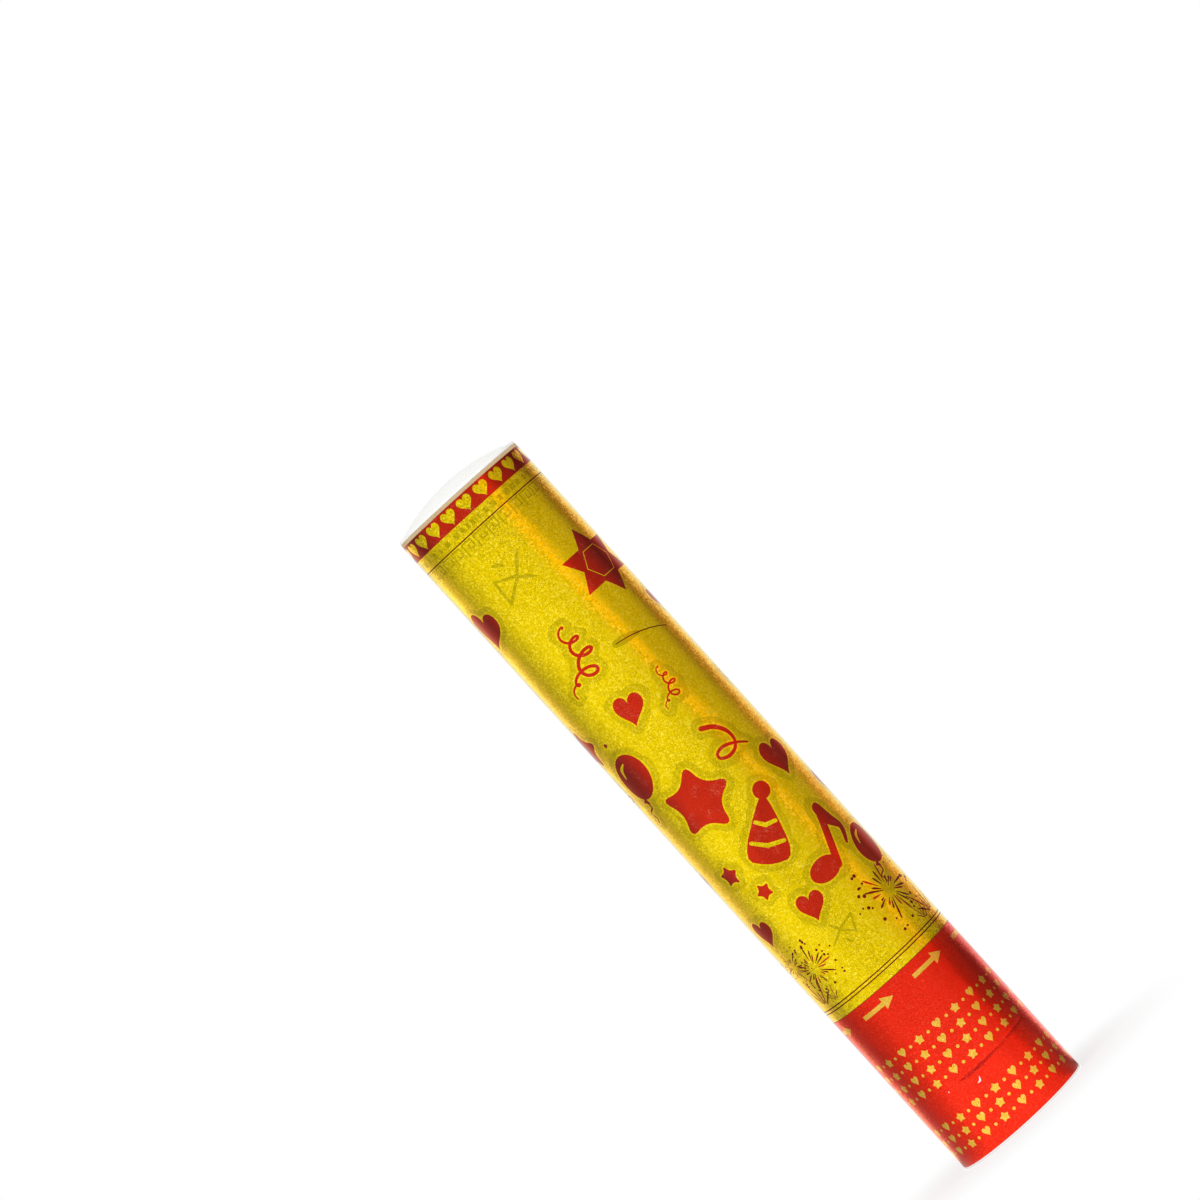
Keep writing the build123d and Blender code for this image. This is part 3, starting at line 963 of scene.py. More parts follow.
class MotifDrawing(Drawing):
    """One party motif, drawn about the origin and about one unit tall."""

    def __init__(self, motif: Motif) -> None:
        """Draws the motif that is asked for."""
        super().__init__()
        getattr(self, "_" + motif.value)()

    def _heart(self) -> None:
        """A heart with full lobes and a fine point."""
        points = 40
        outline = []
        for t in (FULL_TURN * step / points for step in range(points)):
            x = 16.0 * math.sin(t) ** 3
            y = 13.0 * math.cos(t) - 5.0 * math.cos(2.0 * t) - 2.0 * math.cos(3.0 * t) - math.cos(4.0 * t)
            outline.append((x * 0.029, (y + 2.5) / 29.0))
        self.fill(outline)

    def _star(self) -> None:
        """A plump five-pointed star."""
        self.fill(softened(star_outline(5, 0.52, 0.56)))

    def _six_star(self) -> None:
        """A six-pointed star with a fine gold hexagon let into it."""
        self.fill(star_outline(6, 0.577), halo=False)
        hexagon = [polar(0.226, math.pi * corner / 3.0) for corner in range(7)]
        self.stroke(hexagon, (0.011, 0.011), Print.GROUND)

    def _balloon(self) -> None:
        """A balloon with a knot, a string and a gleam."""
        points = 36
        body = []
        for step in range(points):
            right, up = polar(1.0, FULL_TURN * step / points)
            body.append(((0.31 - 0.045 * up) * right * (1.0 + 0.12 * up), 0.12 + 0.38 * up))
        self.fill(body).fill([(-0.075, -0.33), (0.075, -0.33), (0.0, -0.22)])
        string = [(0.0, -0.31), (0.05, -0.4), (-0.04, -0.5), (0.03, -0.6), (0.0, -0.68)]
        self.stroke(flowing(string), (0.035, 0.02))
        gleam = [(-0.17, 0.1), (-0.17, 0.24), (-0.08, 0.35)]
        self.stroke(flowing(gleam), (0.02, 0.06, 0.02), Print.GROUND)

    def _party_hat(self) -> None:
        """A party hat with two bands and a pompom."""
        cone = [(-0.34, -0.46), (0.0, -0.54), (0.34, -0.46), (0.06, 0.34), (-0.06, 0.34)]
        self.fill(softened(cone))
        for low, reach in ((-0.24, 0.21), (0.02, 0.13)):
            band = [(-reach, low), (0.0, low - 0.045), (reach, low)]
            self.stroke(band, (0.05, 0.06, 0.05), Print.GROUND)
        self.fill(circle(0.0, 0.42, 0.12))

    def _note(self) -> None:
        """A bold musical note."""
        self.fill(circle(-0.14, -0.38, 0.24, 0.17, -24.0))
        self.stroke([(0.06, -0.36), (0.06, 0.1), (0.06, 0.5)], (0.12, 0.12))
        flag = [(0.06, 0.46), (0.17, 0.3), (0.34, 0.16), (0.32, -0.08)]
        self.stroke(flowing(flag), (0.18, 0.2, 0.1, 0.05))

    def _curl(self) -> None:
        """A curled streamer: a hook, loops that hang to the right, and a tail that runs off to the left."""
        per_turn, start, flatness = 24, 0.1, 0.75
        knots = [(0.17, 0.47), (0.2, 0.24), (0.22, 0.0), (0.1, -0.26), (-0.16, -0.29), (-0.3, -0.46)]
        sizes = (0.06, 0.1, 0.125, 0.15, 0.055, 0.015)
        axis = flowing(knots, per_turn)
        radii = np.interp(np.linspace(0.0, len(sizes) - 1.0, len(axis)), range(len(sizes)), sizes)
        line = []
        for step, ((x, y), radius) in enumerate(zip(axis, radii)):
            turn = FULL_TURN * (step / per_turn - start)
            line.append((x + radius * math.cos(turn), y + flatness * radius * math.sin(turn)))
        self.stroke(line, (0.026, 0.042, 0.05, 0.05, 0.036, 0.02))

    def _ribbon(self) -> None:
        """A ribbon that sweeps down into one loop."""
        sweep = [(-0.29, 0.5), (0.0, 0.33), (0.19, 0.05), (0.2, -0.22), (0.05, -0.4), (-0.2, -0.45)]
        loop = [(-0.41, -0.36), (-0.4, -0.22), (-0.16, -0.18), (0.16, -0.31), (0.44, -0.5)]
        self.stroke(flowing(sweep + loop, 6), (0.13, 0.12, 0.08, 0.095, 0.075, 0.09, 0.05))

    def _burst(self) -> None:
        """A firework: tapered rays round a clear middle, and sparks beyond them."""
        draw = random.Random(11)
        rays, sparks = 22, 34
        for ray in range(rays):
            angle = FULL_TURN * (ray + draw.uniform(-0.3, 0.3)) / rays
            start, end = draw.uniform(0.1, 0.2), draw.uniform(0.24, 0.5)
            line = [polar(radius, angle) for radius in (start, 0.6 * (start + end), end)]
            shows = Print.LINE if ray % 3 else Print.MAIN
            self.stroke(line, (0.014, 0.038, 0.022), shows, halo=False)
        for _ in range(sparks):
            angle, radius = draw.uniform(0.0, FULL_TURN), draw.uniform(0.44, 0.68)
            spark = circle(*polar(radius, angle), draw.uniform(0.016, 0.034), points=8)
            self.fill(spark, Print.LINE)

    def _sprig(self) -> None:
        """A low fountain of sparks, two of them red."""
        sparks = ((-46.0, 0.62), (-24.0, 0.95), (-3.0, 0.5), (19.0, 1.0), (44.0, 0.7))
        for number, (lean, reach) in enumerate(sparks):
            foot, top = (polar(radius, math.radians(90.0 - lean)) for radius in (0.14, reach))
            middle = (0.5 * (foot[0] + top[0]), 0.52 * (foot[1] + top[1]))
            shows = Print.MAIN if number % 2 else Print.LINE
            self.stroke([foot, middle, top], (0.04, 0.055, 0.03), shows, halo=False)

    def _dot(self) -> None:
        """A dot."""
        self.fill(circle(0.0, 0.0, 0.5, points=14), halo=False)

    def _arrow(self) -> None:
        """A bold arrow that points the way the grip turns."""
        lower = [(-1.5, -0.17), (0.55, -0.17), (0.55, -0.5)]
        upper = [(x, -y) for x, y in reversed(lower)]
        self.fill([*lower, (1.5, 0.0), *upper], halo=False)

    def _sketch(self) -> None:
        """A soft triangle and a few dashes that show faintly through the foil."""
        corners = [(-0.42, 0.12), (0.1, -0.12), (-0.46, -0.5)]
        for first, second in zip(corners, corners[1:] + corners[:1]):
            self.stroke([first, second], (0.07, 0.13, 0.08), Print.GHOST)
        dashes = (((-0.2, 0.42), (0.02, 0.26)), ((0.1, -0.1), (0.5, 0.34)), ((0.08, -0.14), (0.4, -0.4)))
        for (x, y), (u, v) in dashes:
            bowed = ((x + u) / 2.0, (y + v) / 2.0 + 0.02)
            self.stroke([(x, y), bowed, (u, v)], (0.05, 0.1, 0.04), Print.GHOST)

    def _nick(self) -> None:
        """A nick where the foil has come away from its paper."""
        line = flowing([(-0.5, -0.1), (0.0, -0.2), (0.5, 0.25)])
        self.stroke(line, (0.05, 0.34, 0.02), Print.BARE)


@dataclass(frozen=True)
class Crease:
    """A dent in a label that runs along a line of points and fades at its ends, in millimetres."""

    line: tuple[Point, ...]
    depth: float
    width: float
    fade: float = 4.0
    rows: Row = (-2.0, -1.2, -0.6, 0.0, 0.6, 1.2, 2.0)

    def drop(self, across: np.ndarray, along: np.ndarray) -> np.ndarray:
        """Says how deep the dent is.

        Args:
            across: places round the tube.
            along: heights.

        Returns:
            The depths.
        """
        near = np.full(across.shape, FAR_OFF)
        for (x, z), (u, v) in zip(self.line, self.line[1:]):
            length = (u - x) ** 2 + (v - z) ** 2
            share = np.clip(((across - x) * (u - x) + (along - z) * (v - z)) / length, 0.0, 1.0)
            near = np.minimum(near, np.hypot(across - x - share * (u - x), along - z - share * (v - z)))
        ends = np.clip((across - self.line[0][0]) / self.fade, 0.0, 1.0)
        ends = ends * np.clip((self.line[-1][0] - across) / self.fade, 0.0, 1.0)
        return self.depth * np.exp(-((near / self.width) ** 2)) * ends


@dataclass
class PrintedSheet:
    """A printed label, drawn flat in millimetres and rolled once round its tube with a lap at the back."""

    radius: float
    low: float
    high: float
    thickness: float = 0.09
    lap: float = 6.0
    lap_lift: float = 0.1
    lap_run: float = 5.0
    step: float = 0.85
    back_step: float = 3.0
    row_share: float = 0.87
    clear_share: float = 0.4
    slope_reach: float = 0.02
    line_spacing: float = 0.3
    halo_start: float = 0.6
    halo_end: float = 2.6
    halo_grid: float = 0.75
    halo_spacing: float = 0.2
    halo_ragged: float = 0.5
    halo_waves: float = 0.2
    halo_seed: float = 3.0
    patches: list[Patch] = field(default_factory=list)
    creases: list[Crease] = field(default_factory=list)

    @property
    def turn(self) -> float:
        """The length of one turn round the tube."""
        return FULL_TURN * self.radius

    @property
    def half_width(self) -> float:
        """Half the sheet's width, lap included."""
        return (self.turn + self.lap) / 2.0

    def paint(self, drawing: Drawing) -> None:
        """Prints a drawing, and again wherever a whole turn brings it back onto the sheet.

        Args:
            drawing: the drawing.
        """
        for patch in drawing.patches:
            reach = [x for x, _ in patch.outline]
            for shift in (-self.turn, 0.0, self.turn):
                if min(reach) + shift < self.half_width and max(reach) + shift > -self.half_width:
                    moved = tuple((x + shift, z) for x, z in patch.outline)
                    self.patches.append(replace(patch, outline=moved))

    def band(self, low: float, high: float, shows: Print) -> None:
        """Prints a band right round the tube."""
        edge = self.half_width + self.step
        self.patches.append(Patch(tuple(box_outline(-edge, edge, low, high)), shows, False))

    def offset(self, across: np.ndarray, along: np.ndarray) -> np.ndarray:
        """Says how far the printed face stands off its plain radius.

        Args:
            across: places round the tube, in millimetres.
            along: heights.

        Returns:
            The offsets in millimetres.
        """
        run = (across - self.turn / 2.0 + self.lap / 2.0 + self.lap_run) / self.lap_run
        run = np.clip(run, 0.0, 1.0)
        raised = self.lap_lift * run * run * (3.0 - 2.0 * run)
        for crease in self.creases:
            raised = raised - crease.drop(across, along)
        return raised

    def rolled(self, flat: np.ndarray, inward: float = 0.0) -> tuple[np.ndarray, np.ndarray]:
        """Rolls flat points round the tube.

        Args:
            flat: places round the tube and heights, in millimetres.
            inward: how far inside the printed face.

        Returns:
            The points, and the outward normals there.
        """
        across, along = flat[:, 0], flat[:, 1]
        angle = across / self.radius - math.pi / 2.0
        reach = self.radius + self.offset(across, along) - inward
        probe = self.slope_reach
        ahead = self.offset(across + probe, along) - self.offset(across - probe, along)
        above = self.offset(across, along + probe) - self.offset(across, along - probe)
        ahead, above = ahead / (2.0 * probe), above / (2.0 * probe)
        cosine, sine = np.cos(angle), np.sin(angle)
        points = np.stack((reach * cosine, reach * sine, along), axis=1)
        normals = np.stack((cosine + ahead * sine, sine - ahead * cosine, -above), axis=1)
        return points, normals / np.linalg.norm(normals, axis=1)[:, None]

    def edge_points(self) -> Outline:
        """Gives the sheet's edge, counter-clockwise, at the sheet's own step.

        Returns:
            The edge's points.
        """
        wide = int(2.0 * self.half_width / self.step)
        tall = int((self.high - self.low) / self.step)
        across = np.linspace(-self.half_width, self.half_width, wide + 1)
        along = np.linspace(self.low, self.high, tall + 1)
        edge = [(x, self.low) for x in across[:-1]] + [(self.half_width, z) for z in along[:-1]]
        return edge + [(x, self.high) for x in across[:0:-1]] + [(-self.half_width, z) for z in along[:0:-1]]

    def field_points(self, step: float, keep_off: kdtree.KDTree) -> Outline:
        """Spreads points evenly over the sheet, off the drawn lines, and more of them along the creases.

        Args:
            step: the spacing in millimetres.
            keep_off: points of the drawn lines.

        Returns:
            The points.
        """
        points: Outline = []
        rows = int((self.high - self.low) / (step * self.row_share))
        columns = int(2.0 * self.half_width / step)
        for row in range(1, rows):
            z = self.low + (self.high - self.low) * row / rows
            for column in range(1, columns):
                x = -self.half_width + 2.0 * self.half_width * (column + 0.25 * (-1) ** row) / columns
                if keep_off.find((x, z, 0.0))[2] > self.clear_share * step:
                    points.append((x, z))
        for crease in self.creases:
            for x, z in flowing(crease.line, 40):
                points += [(x, z + row * crease.width) for row in crease.rows]
        return points

    @staticmethod
    def divided(outline: Sequence[Point], spacing: float) -> Outline:
        """Divides a closed outline's long runs.

        Args:
            outline: the outline.
            spacing: the longest run that is left, in millimetres.

        Returns:
            The outline's points.
        """
        points: Outline = []
        for (x, z), (u, v) in zip(outline, [*outline[1:], outline[0]]):
            count = max(1, math.ceil(math.hypot(u - x, v - z) / spacing - 1e-6))
            points += [(x + (u - x) * k / count, z + (v - z) * k / count) for k in range(count)]
        return points

    def line_tree(self, outlines: Iterable[Sequence[Point]], spacing: float) -> kdtree.KDTree:
        """Collects points along outlines in a tree that finds the nearest one.

        Args:
            outlines: the outlines.
            spacing: the longest run between two points, in millimetres.

        Returns:
            The tree.
        """
        points = [p for outline in outlines for p in self.divided(outline, spacing)]
        tree = kdtree.KDTree(max(1, len(points)))
        for index, point in enumerate(points):
            tree.insert((*point, 0.0), index)
        tree.balance()
        return tree

    def cut(
        self, outlines: Sequence[Sequence[Point]], loose: Outline, runs: Sequence[tuple[Point, Point]] = ()
    ) -> tuple[np.ndarray, np.ndarray]:
        """Cuts the sheet into triangles along outlines.

        Args:
            outlines: the sheet's edge, and the outline of each patch.
            loose: further points.
            runs: further short lines to cut along.

        Returns:
            The points, and the corners of each triangle on the sheet.
        """
        points: list[Vector] = []
        lines: list[tuple[int, int]] = []
        for outline in outlines:
            drawn = self.divided(outline, self.step)
            start, count = len(points), len(drawn)
            lines += [(start + k, start + (k + 1) % count) for k in range(count)]
            points += [Vector(p) for p in drawn]
        for run in runs:
            lines.append((len(points), len(points) + 1))
            points += [Vector(p) for p in run]
        points += [Vector(p) for p in loose]
        result = delaunay_2d_cdt(points, lines, [], 0, SAME_PLACE, False)
        flat, faces = np.array(result[0]), np.array(result[2])
        across, along = flat[faces].mean(axis=1).T
        on_sheet = (np.abs(across) < self.half_width) & (along > self.low) & (along < self.high)
        used, renumbered = np.unique(faces[on_sheet], return_inverse=True)
        return flat[used], renumbered.reshape(-1, 3)

    def patch_at(self, places: np.ndarray) -> np.ndarray:
        """Finds the last patch that each place lies in.

        Args:
            places: points on the flat sheet.

        Returns:
            The patches' numbers, and -1 where there is none.
        """
        last = np.full(len(places), -1)
        order = np.argsort(places[:, 1])
        heights = places[order, 1]
        for number, patch in enumerate(self.patches):
            outline = np.array(patch.outline)
            (left, low), (right, high) = outline.min(0), outline.max(0)
            near = order[np.searchsorted(heights, low):np.searchsorted(heights, high)]
            near = near[(places[near, 0] > left) & (places[near, 0] < right)]
            x, z = places[near, 0], places[near, 1]
            inside = np.zeros(len(near), bool)
            for (a, b), (c, d) in zip(outline, np.roll(outline, -1, axis=0)):
                if b != d:
                    inside ^= ((b > z) != (d > z)) & (x < a + (c - a) * (z - b) / (d - b))
            last[near[inside]] = number
        return last

    def halo_reach(self, places: np.ndarray) -> np.ndarray:
        """Measures how far each place is from the nearest print with a halo, a little unevenly.

        Args:
            places: points on the flat sheet.

        Returns:
            The distances in millimetres.
        """
        outlines = [p.outline for p in self.patches if p.halo]
        if not outlines:
            return np.full(len(places), FAR_OFF)
        tree = self.line_tree(outlines, self.halo_spacing)
        reach = np.array([tree.find((x, z, 0.0))[2] for x, z in places])
        spots = [Vector((x * self.halo_waves, z * self.halo_waves, self.halo_seed)) for x, z in places]
        return reach / (1.0 + self.halo_ragged * np.array([noise.noise(spot) for spot in spots]))

    def halo_edges(self) -> list[tuple[Point, Point]]:
        """Traces the halo's two edges over a grid, outside the prints.

        Returns:
            Short lines along the edges.
        """
        columns = np.arange(-self.half_width, self.half_width + self.halo_grid, self.halo_grid)
        rows = np.arange(self.low, self.high + self.halo_grid, self.halo_grid)
        places = np.stack(np.meshgrid(columns, rows, indexing="ij"), axis=-1)
        reach = self.halo_reach(places.reshape(-1, 2)).reshape(places.shape[:2])
        runs: list[tuple[Point, Point]] = []
        for level in (self.halo_start, self.halo_end):
            over = reach > level
            mixed = over[:-1, :-1] + 0 + over[1:, :-1] + over[1:, 1:] + over[:-1, 1:]
            for i, j in np.argwhere((mixed > 0) & (mixed < 4)):
                ring = [(i, j), (i + 1, j), (i + 1, j + 1), (i, j + 1)]
                crossings = []
                for first, second in zip(ring, ring[1:] + ring[:1]):
                    if over[first] != over[second]:
                        low, high = sorted((first, second))
                        share = (level - reach[low]) / (reach[high] - reach[low])
                        crossings.append(tuple(places[low] + share * (places[high] - places[low])))
                runs += list(zip(crossings[::2], crossings[1::2]))
        middles = np.array([((a + c) / 2.0, (b + d) / 2.0) for (a, b), (c, d) in runs]).reshape(-1, 2)
        return [run for run, number in zip(runs, self.patch_at(middles)) if number < 0]

    def shown_on(self, middles: np.ndarray) -> list[Print]:
        """Says what each triangle shows.

        Args:
            middles: the triangles' middles.

        Returns:
            What each one shows.
        """
        numbers = self.patch_at(middles)
        reach = self.halo_reach(middles)
        in_halo = (numbers < 0) & (reach > self.halo_start) & (reach < self.halo_end)
        plain = np.where(in_halo, Print.HALO, Print.GROUND)
        return [self.patches[k].shows if k >= 0 else plain[index] for index, k in enumerate(numbers)]

    @staticmethod
    def rim_of(faces: Sequence[Sequence[int]]) -> list[int]:
        """Follows the edge of a sheet of faces.

        Args:
            faces: the faces' corners.

        Returns:
            The corners along the edge, in order.
        """
        runs = {(a, b) for face in faces for a, b in zip(face, face[1:] + face[:1])}
        following = {a: b for a, b in runs if (b, a) not in runs}
        edge = [next(iter(following))]
        while following[edge[-1]] != edge[0]:
            edge.append(following[edge[-1]])
        return edge

    def shade(self, mesh: bpy.types.Mesh, normals: np.ndarray, sides: int, rims: list[list[int]]) -> None:
        """Gives the rolled label the tube's own smooth normals, and a crisp edge.

        Args:
            mesh: the label's mesh.
            normals: the normal at each vertex.
            sides: how many faces its two sides have; the rest are its edge.
            rims: the vertices along the edges of its two sides.
        """
        mesh.shade_smooth()
        sharp = {frozenset((rim[k], rim[k - 1])) for rim in rims for k in range(len(rim))}
        for line in mesh.edges:
            line.use_edge_sharp = frozenset(line.vertices) in sharp
        loops = []
        for polygon in mesh.polygons:
            in_rim = polygon.index >= sides
            loops += [tuple(polygon.normal if in_rim else normals[v]) for v in polygon.vertices]
        mesh.normals_split_custom_set(loops)

    def build(self, piece: Piece, finishes: dict[Print, Finish]) -> None:
        """Cuts, rolls and prints the label.

        Args:
            piece: the piece that it becomes.
            finishes: the finish of each kind of patch.
        """
        outlines = [self.edge_points(), *(p.outline for p in self.patches)]
        halo = self.halo_edges()
        drawn = self.line_tree([*outlines, *halo], self.line_spacing)
        front, triangles = self.cut(outlines, self.field_points(self.step, drawn), halo)
        faces = triangles.tolist()
        edge = self.rim_of(faces)
        edge_line = [tuple(front[i]) for i in edge]
        drawn = self.line_tree([edge_line], self.line_spacing)
        back, back_triangles = self.cut([edge_line], self.field_points(self.back_step, drawn))
        matched = {tuple(np.round(p, 4)): i + len(front) for i, p in enumerate(back)}
        behind = [matched[tuple(np.round(front[i], 4))] for i in edge]
        sides = faces + (back_triangles[:, ::-1] + len(front)).tolist()
        rim = [[edge[k], edge[k - 1], behind[k - 1], behind[k]] for k in range(len(edge))]
        outer, outer_normals = self.rolled(front)
        inner, inner_normals = self.rolled(back, self.thickness)
        vertices = [Vector(p) for p in (*outer, *inner)]
        mesh = piece.place((vertices, sides + rim), list(finishes.values()), None)
        order = list(finishes)
        prints = [order.index(p) for p in self.shown_on(front[triangles].mean(axis=1))]
        prints += [order.index(Print.GROUND)] * (len(mesh.polygons) - len(prints))
        mesh.polygons.foreach_set("material_index", prints)
        self.shade(mesh, np.concatenate((outer_normals, -inner_normals)), len(sides), [edge, behind])


# The part's sub-assemblies


@dataclass(frozen=True)
class Stamp:
    """Where a motif is printed, in millimetres round the tube and along it, with its size and tilt."""

    motif: Motif
    across: float
    along: float
    size: float
    tilt: float = 0.0
    stretch: float = 1.0

    def draw(self, across: float) -> Drawing:
        """Draws the motif at a place round the tube."""
        return MotifDrawing(self.motif).placed(across, self.along, self.size, self.tilt, self.stretch)


BARREL_STAMPS = (
    Stamp(Motif.SKETCH, -4.7, 245.6, 14.5),
    Stamp(Motif.HEART, -28.5, 236.2, 15.0, 24.0),
    Stamp(Motif.SIX_STAR, 23.0, 230.1, 26.8, 0.0, 1.12),
    Stamp(Motif.CURL, -9.7, 211.2, 22.6, 0.0, 1.1),
    Stamp(Motif.HEART, 38.0, 208.0, 11.0, -14.0),
    Stamp(Motif.CURL, 7.9, 185.0, 13.6),
    Stamp(Motif.HEART, -5.7, 186.4, 11.2, 20.0),
    Stamp(Motif.DOT, -22.2, 183.4, 1.5),
    Stamp(Motif.STAR, -35.0, 186.0, 16.0, 14.0),
    Stamp(Motif.BALLOON, -23.5, 167.0, 23.0, 24.0),
    Stamp(Motif.STAR, -9.5, 149.5, 24.0, 20.0),
    Stamp(Motif.RIBBON, 11.4, 160.1, 13.4),
    Stamp(Motif.HEART, 23.0, 142.6, 13.8, 12.0),
    Stamp(Motif.PARTY_HAT, 2.5, 130.0, 26.0, 36.0),
    Stamp(Motif.NOTE, 14.0, 112.5, 24.0, 26.0),
    Stamp(Motif.STAR, -20.0, 124.5, 7.6, 10.0),
    Stamp(Motif.STAR, -13.5, 113.5, 6.2, -12.0),
    Stamp(Motif.CURL, 38.0, 167.0, 20.0, -40.0),
    Stamp(Motif.HEART, -27.5, 102.0, 10.5, 14.0),
    Stamp(Motif.HEART, -4.7, 99.3, 10.2, 16.0),
    Stamp(Motif.HEART, 39.0, 126.0, 12.0, 10.0),
    Stamp(Motif.SKETCH, -2.5, 86.7, 9.5, -160.0),
    Stamp(Motif.BURST, -19.6, 83.7, 16.0),
    Stamp(Motif.BURST, -28.0, 88.0, 12.5, 40.0),
    Stamp(Motif.BURST, 19.5, 86.6, 21.0, 75.0),
    Stamp(Motif.BALLOON, 27.0, 100.5, 21.0, 26.0),
    Stamp(Motif.SPRIG, -21.5, 70.9, 6.0),
    Stamp(Motif.SPRIG, -28.5, 70.9, 12.0, 14.0),
    Stamp(Motif.SPRIG, 24.5, 70.9, 7.0),
    Stamp(Motif.SPRIG, 31.0, 70.9, 13.0, -12.0),
)


@dataclass
class Barrel:
    """The long card tube, its gold label, and the valve pieces glued into it."""

    body: str = "barrel"
    skin: float = 0.11
    foot_reach: float = 0.22
    stamp_repeats: int = 2
    border_hearts: int = 22
    border_height: float = 6.7
    border_overrun: float = 1.0
    border_heart_size: float = 5.4
    border_heart_stretch: float = 1.1
    top_line: float = 11.75
    foot_lines: Point = (3.4, 4.6)
    line_width: float = 0.42
    string: tuple[Point, ...] = ((5.5, 205.9), (12.0, 204.6), (19.0, 202.4), (26.5, 199.4))
    string_widths: Row = (0.3, 0.4, 0.34)
    string_dark_band: int = 10
    string_dark_band_widths: Row = (2.6, 3.4, 2.8, 1.6)
    dash_row: Point = (8.2, 10.2)
    dash_widths: Point = (0.9, 2.4)
    dash_gaps: Point = (0.6, 2.6)
    dash_seed: int = 5
    key_row: Point = (12.6, 17.0)
    key_count: int = 30
    key_stroke: float = 0.55
    key: tuple[Point, ...] = ((0.0, 0.0), (0.0, 1.0), (0.72, 1.0), (0.72, 0.34), (0.36, 0.34), (0.36, 0.66))
    segments: int = 144
    ply_count: int = 7
    ply_groove: float = 0.07
    seam_depth: float = 0.14
    seam_width: float = 0.6
    seam_pitch: float = 74.0
    bore_tolerance: float = 0.01
    bore_rows: tuple[Place, Place] = ((4.0, 36.0, 6.0), (34.0, 0.6, 0.8))

    def build_label(self) -> None:
        """Prints and rolls the gold label."""
        low, high = corners_of("barrel_foil_wrap")
        sheet = PrintedSheet(high.x - self.skin, low.z - self.foot_reach, high.z)
        self.print_border(sheet)
        self.print_ghosts(sheet)
        half = self.line_width / 2.0
        for height in (sheet.high - self.top_line, *(sheet.low + rise for rise in self.foot_lines)):
            sheet.band(height - half, height + half, Print.LINE)
        for repeat in range(self.stamp_repeats):
            shift = sheet.turn * repeat / self.stamp_repeats
            for stamp in BARREL_STAMPS:
                across = (stamp.across + shift + sheet.turn / 2.0) % sheet.turn - sheet.turn / 2.0
                sheet.paint(stamp.draw(across))
            back = sheet.turn if repeat else 0.0
            string = [(x - back, z) for x, z in flowing([(x + shift, z) for x, z in self.string])]
            # a darker olive band along the first part of the string
            dark_band_line = string[:self.string_dark_band]
            sheet.paint(Drawing().stroke(dark_band_line, self.string_dark_band_widths, Print.GHOST))
            sheet.paint(Drawing().stroke(string, self.string_widths, Print.LINE))
        finishes = {
            Print.GROUND: GOLD_FOIL,
            Print.MAIN: RED_INK,
            Print.LINE: LINE_INK,
            Print.GHOST: GHOST_FOIL,
            Print.HALO: HALO_FOIL,
        }
        sheet.build(Piece("barrel_label", self.body, "barrel_foil_wrap", "gold_foil"), finishes)

    def print_border(self, sheet: PrintedSheet) -> None:
        """Prints the red border under the muzzle, with gold hearts left out of it.

        Args:
            sheet: the label.
        """
        border_low = sheet.high - self.border_height
        sheet.band(border_low, sheet.high + self.border_overrun, Print.MAIN)
        heart, middle = MotifDrawing(Motif.HEART), border_low + self.border_height / 2.0
        for number in range(self.border_hearts):
            across = sheet.turn * (number / self.border_hearts - 0.5)
            placed = heart.placed(across, middle, self.border_heart_size, 0.0, self.border_heart_stretch)
            sheet.paint(Drawing().fill(placed.patches[0].outline, Print.GROUND))

    def print_ghosts(self, sheet: PrintedSheet) -> None:
        """Prints a row of dashes and a key pattern that show faintly under the border.

        Args:
            sheet: the label.
        """
        draw = random.Random(self.dash_seed)
        top, foot = (sheet.high - drop for drop in self.dash_row)
        across = -sheet.turn / 2.0
        while across < sheet.turn / 2.0 - self.dash_widths[1]:
            wide = draw.uniform(*self.dash_widths)
            sheet.paint(Drawing().fill(box_outline(across, across + wide, foot, top), Print.GHOST))
            across += wide + draw.uniform(*self.dash_gaps)
        top, foot = (sheet.high - drop for drop in self.key_row)
        pitch, tall, half = sheet.turn / self.key_count, top - foot, self.key_stroke / 2.0
        for number in range(self.key_count):
            start = pitch * (number - self.key_count / 2.0)
            for (a, b), (c, d) in zip(self.key, self.key[1:]):
                left, right = start + pitch * min(a, c) - half, start + pitch * max(a, c) + half
                low, high = foot + tall * min(b, d) - half, foot + tall * max(b, d) + half
                sheet.paint(Drawing().fill(box_outline(left, right, low, high), Print.GHOST))

    def build_tube(self) -> None:
        """Winds the card tube, with its plies showing at the ends and its winding seam in the bore."""
        low, high = corners_of("barrel_tube")
        bore = min(math.hypot(v.co.x, v.co.y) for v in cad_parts["barrel_tube"].data.vertices) / MM
        steps = 2 * self.ply_count
        plies = [bore + (high.x - bore) * step / steps for step in range(steps + 1)]
        top = [(r, high.z - self.ply_groove * (step % 2)) for step, r in enumerate(plies)]
        foot = [(r, low.z + self.ply_groove * (step % 2)) for step, r in enumerate(plies)]
        (foot_gap, coarse_end, coarse), (fine_start, fine_end, fine) = self.bore_rows
        heights = list(np.arange(low.z + foot_gap, high.z - coarse_end, coarse))
        heights += list(np.arange(high.z - fine_start, high.z - fine_end, fine))
        vertices, faces = turned(top + foot[::-1] + [(bore, z) for z in heights], self.segments)
        for v in vertices:
            radius = math.hypot(v.x, v.y)
            if radius < bore + self.bore_tolerance:
                winding = (v.z / self.seam_pitch - math.atan2(v.y, v.x) / FULL_TURN) % 1.0
                off = min(winding, 1.0 - winding) * self.seam_pitch
                deeper = 1.0 + self.seam_depth * math.exp(-((off / self.seam_width) ** 2)) / radius
                v.x, v.y = v.x * deeper, v.y * deeper
        Piece("barrel_card", self.body, "barrel_tube", "kraft_card").place((vertices, faces), [KRAFT_CARD])

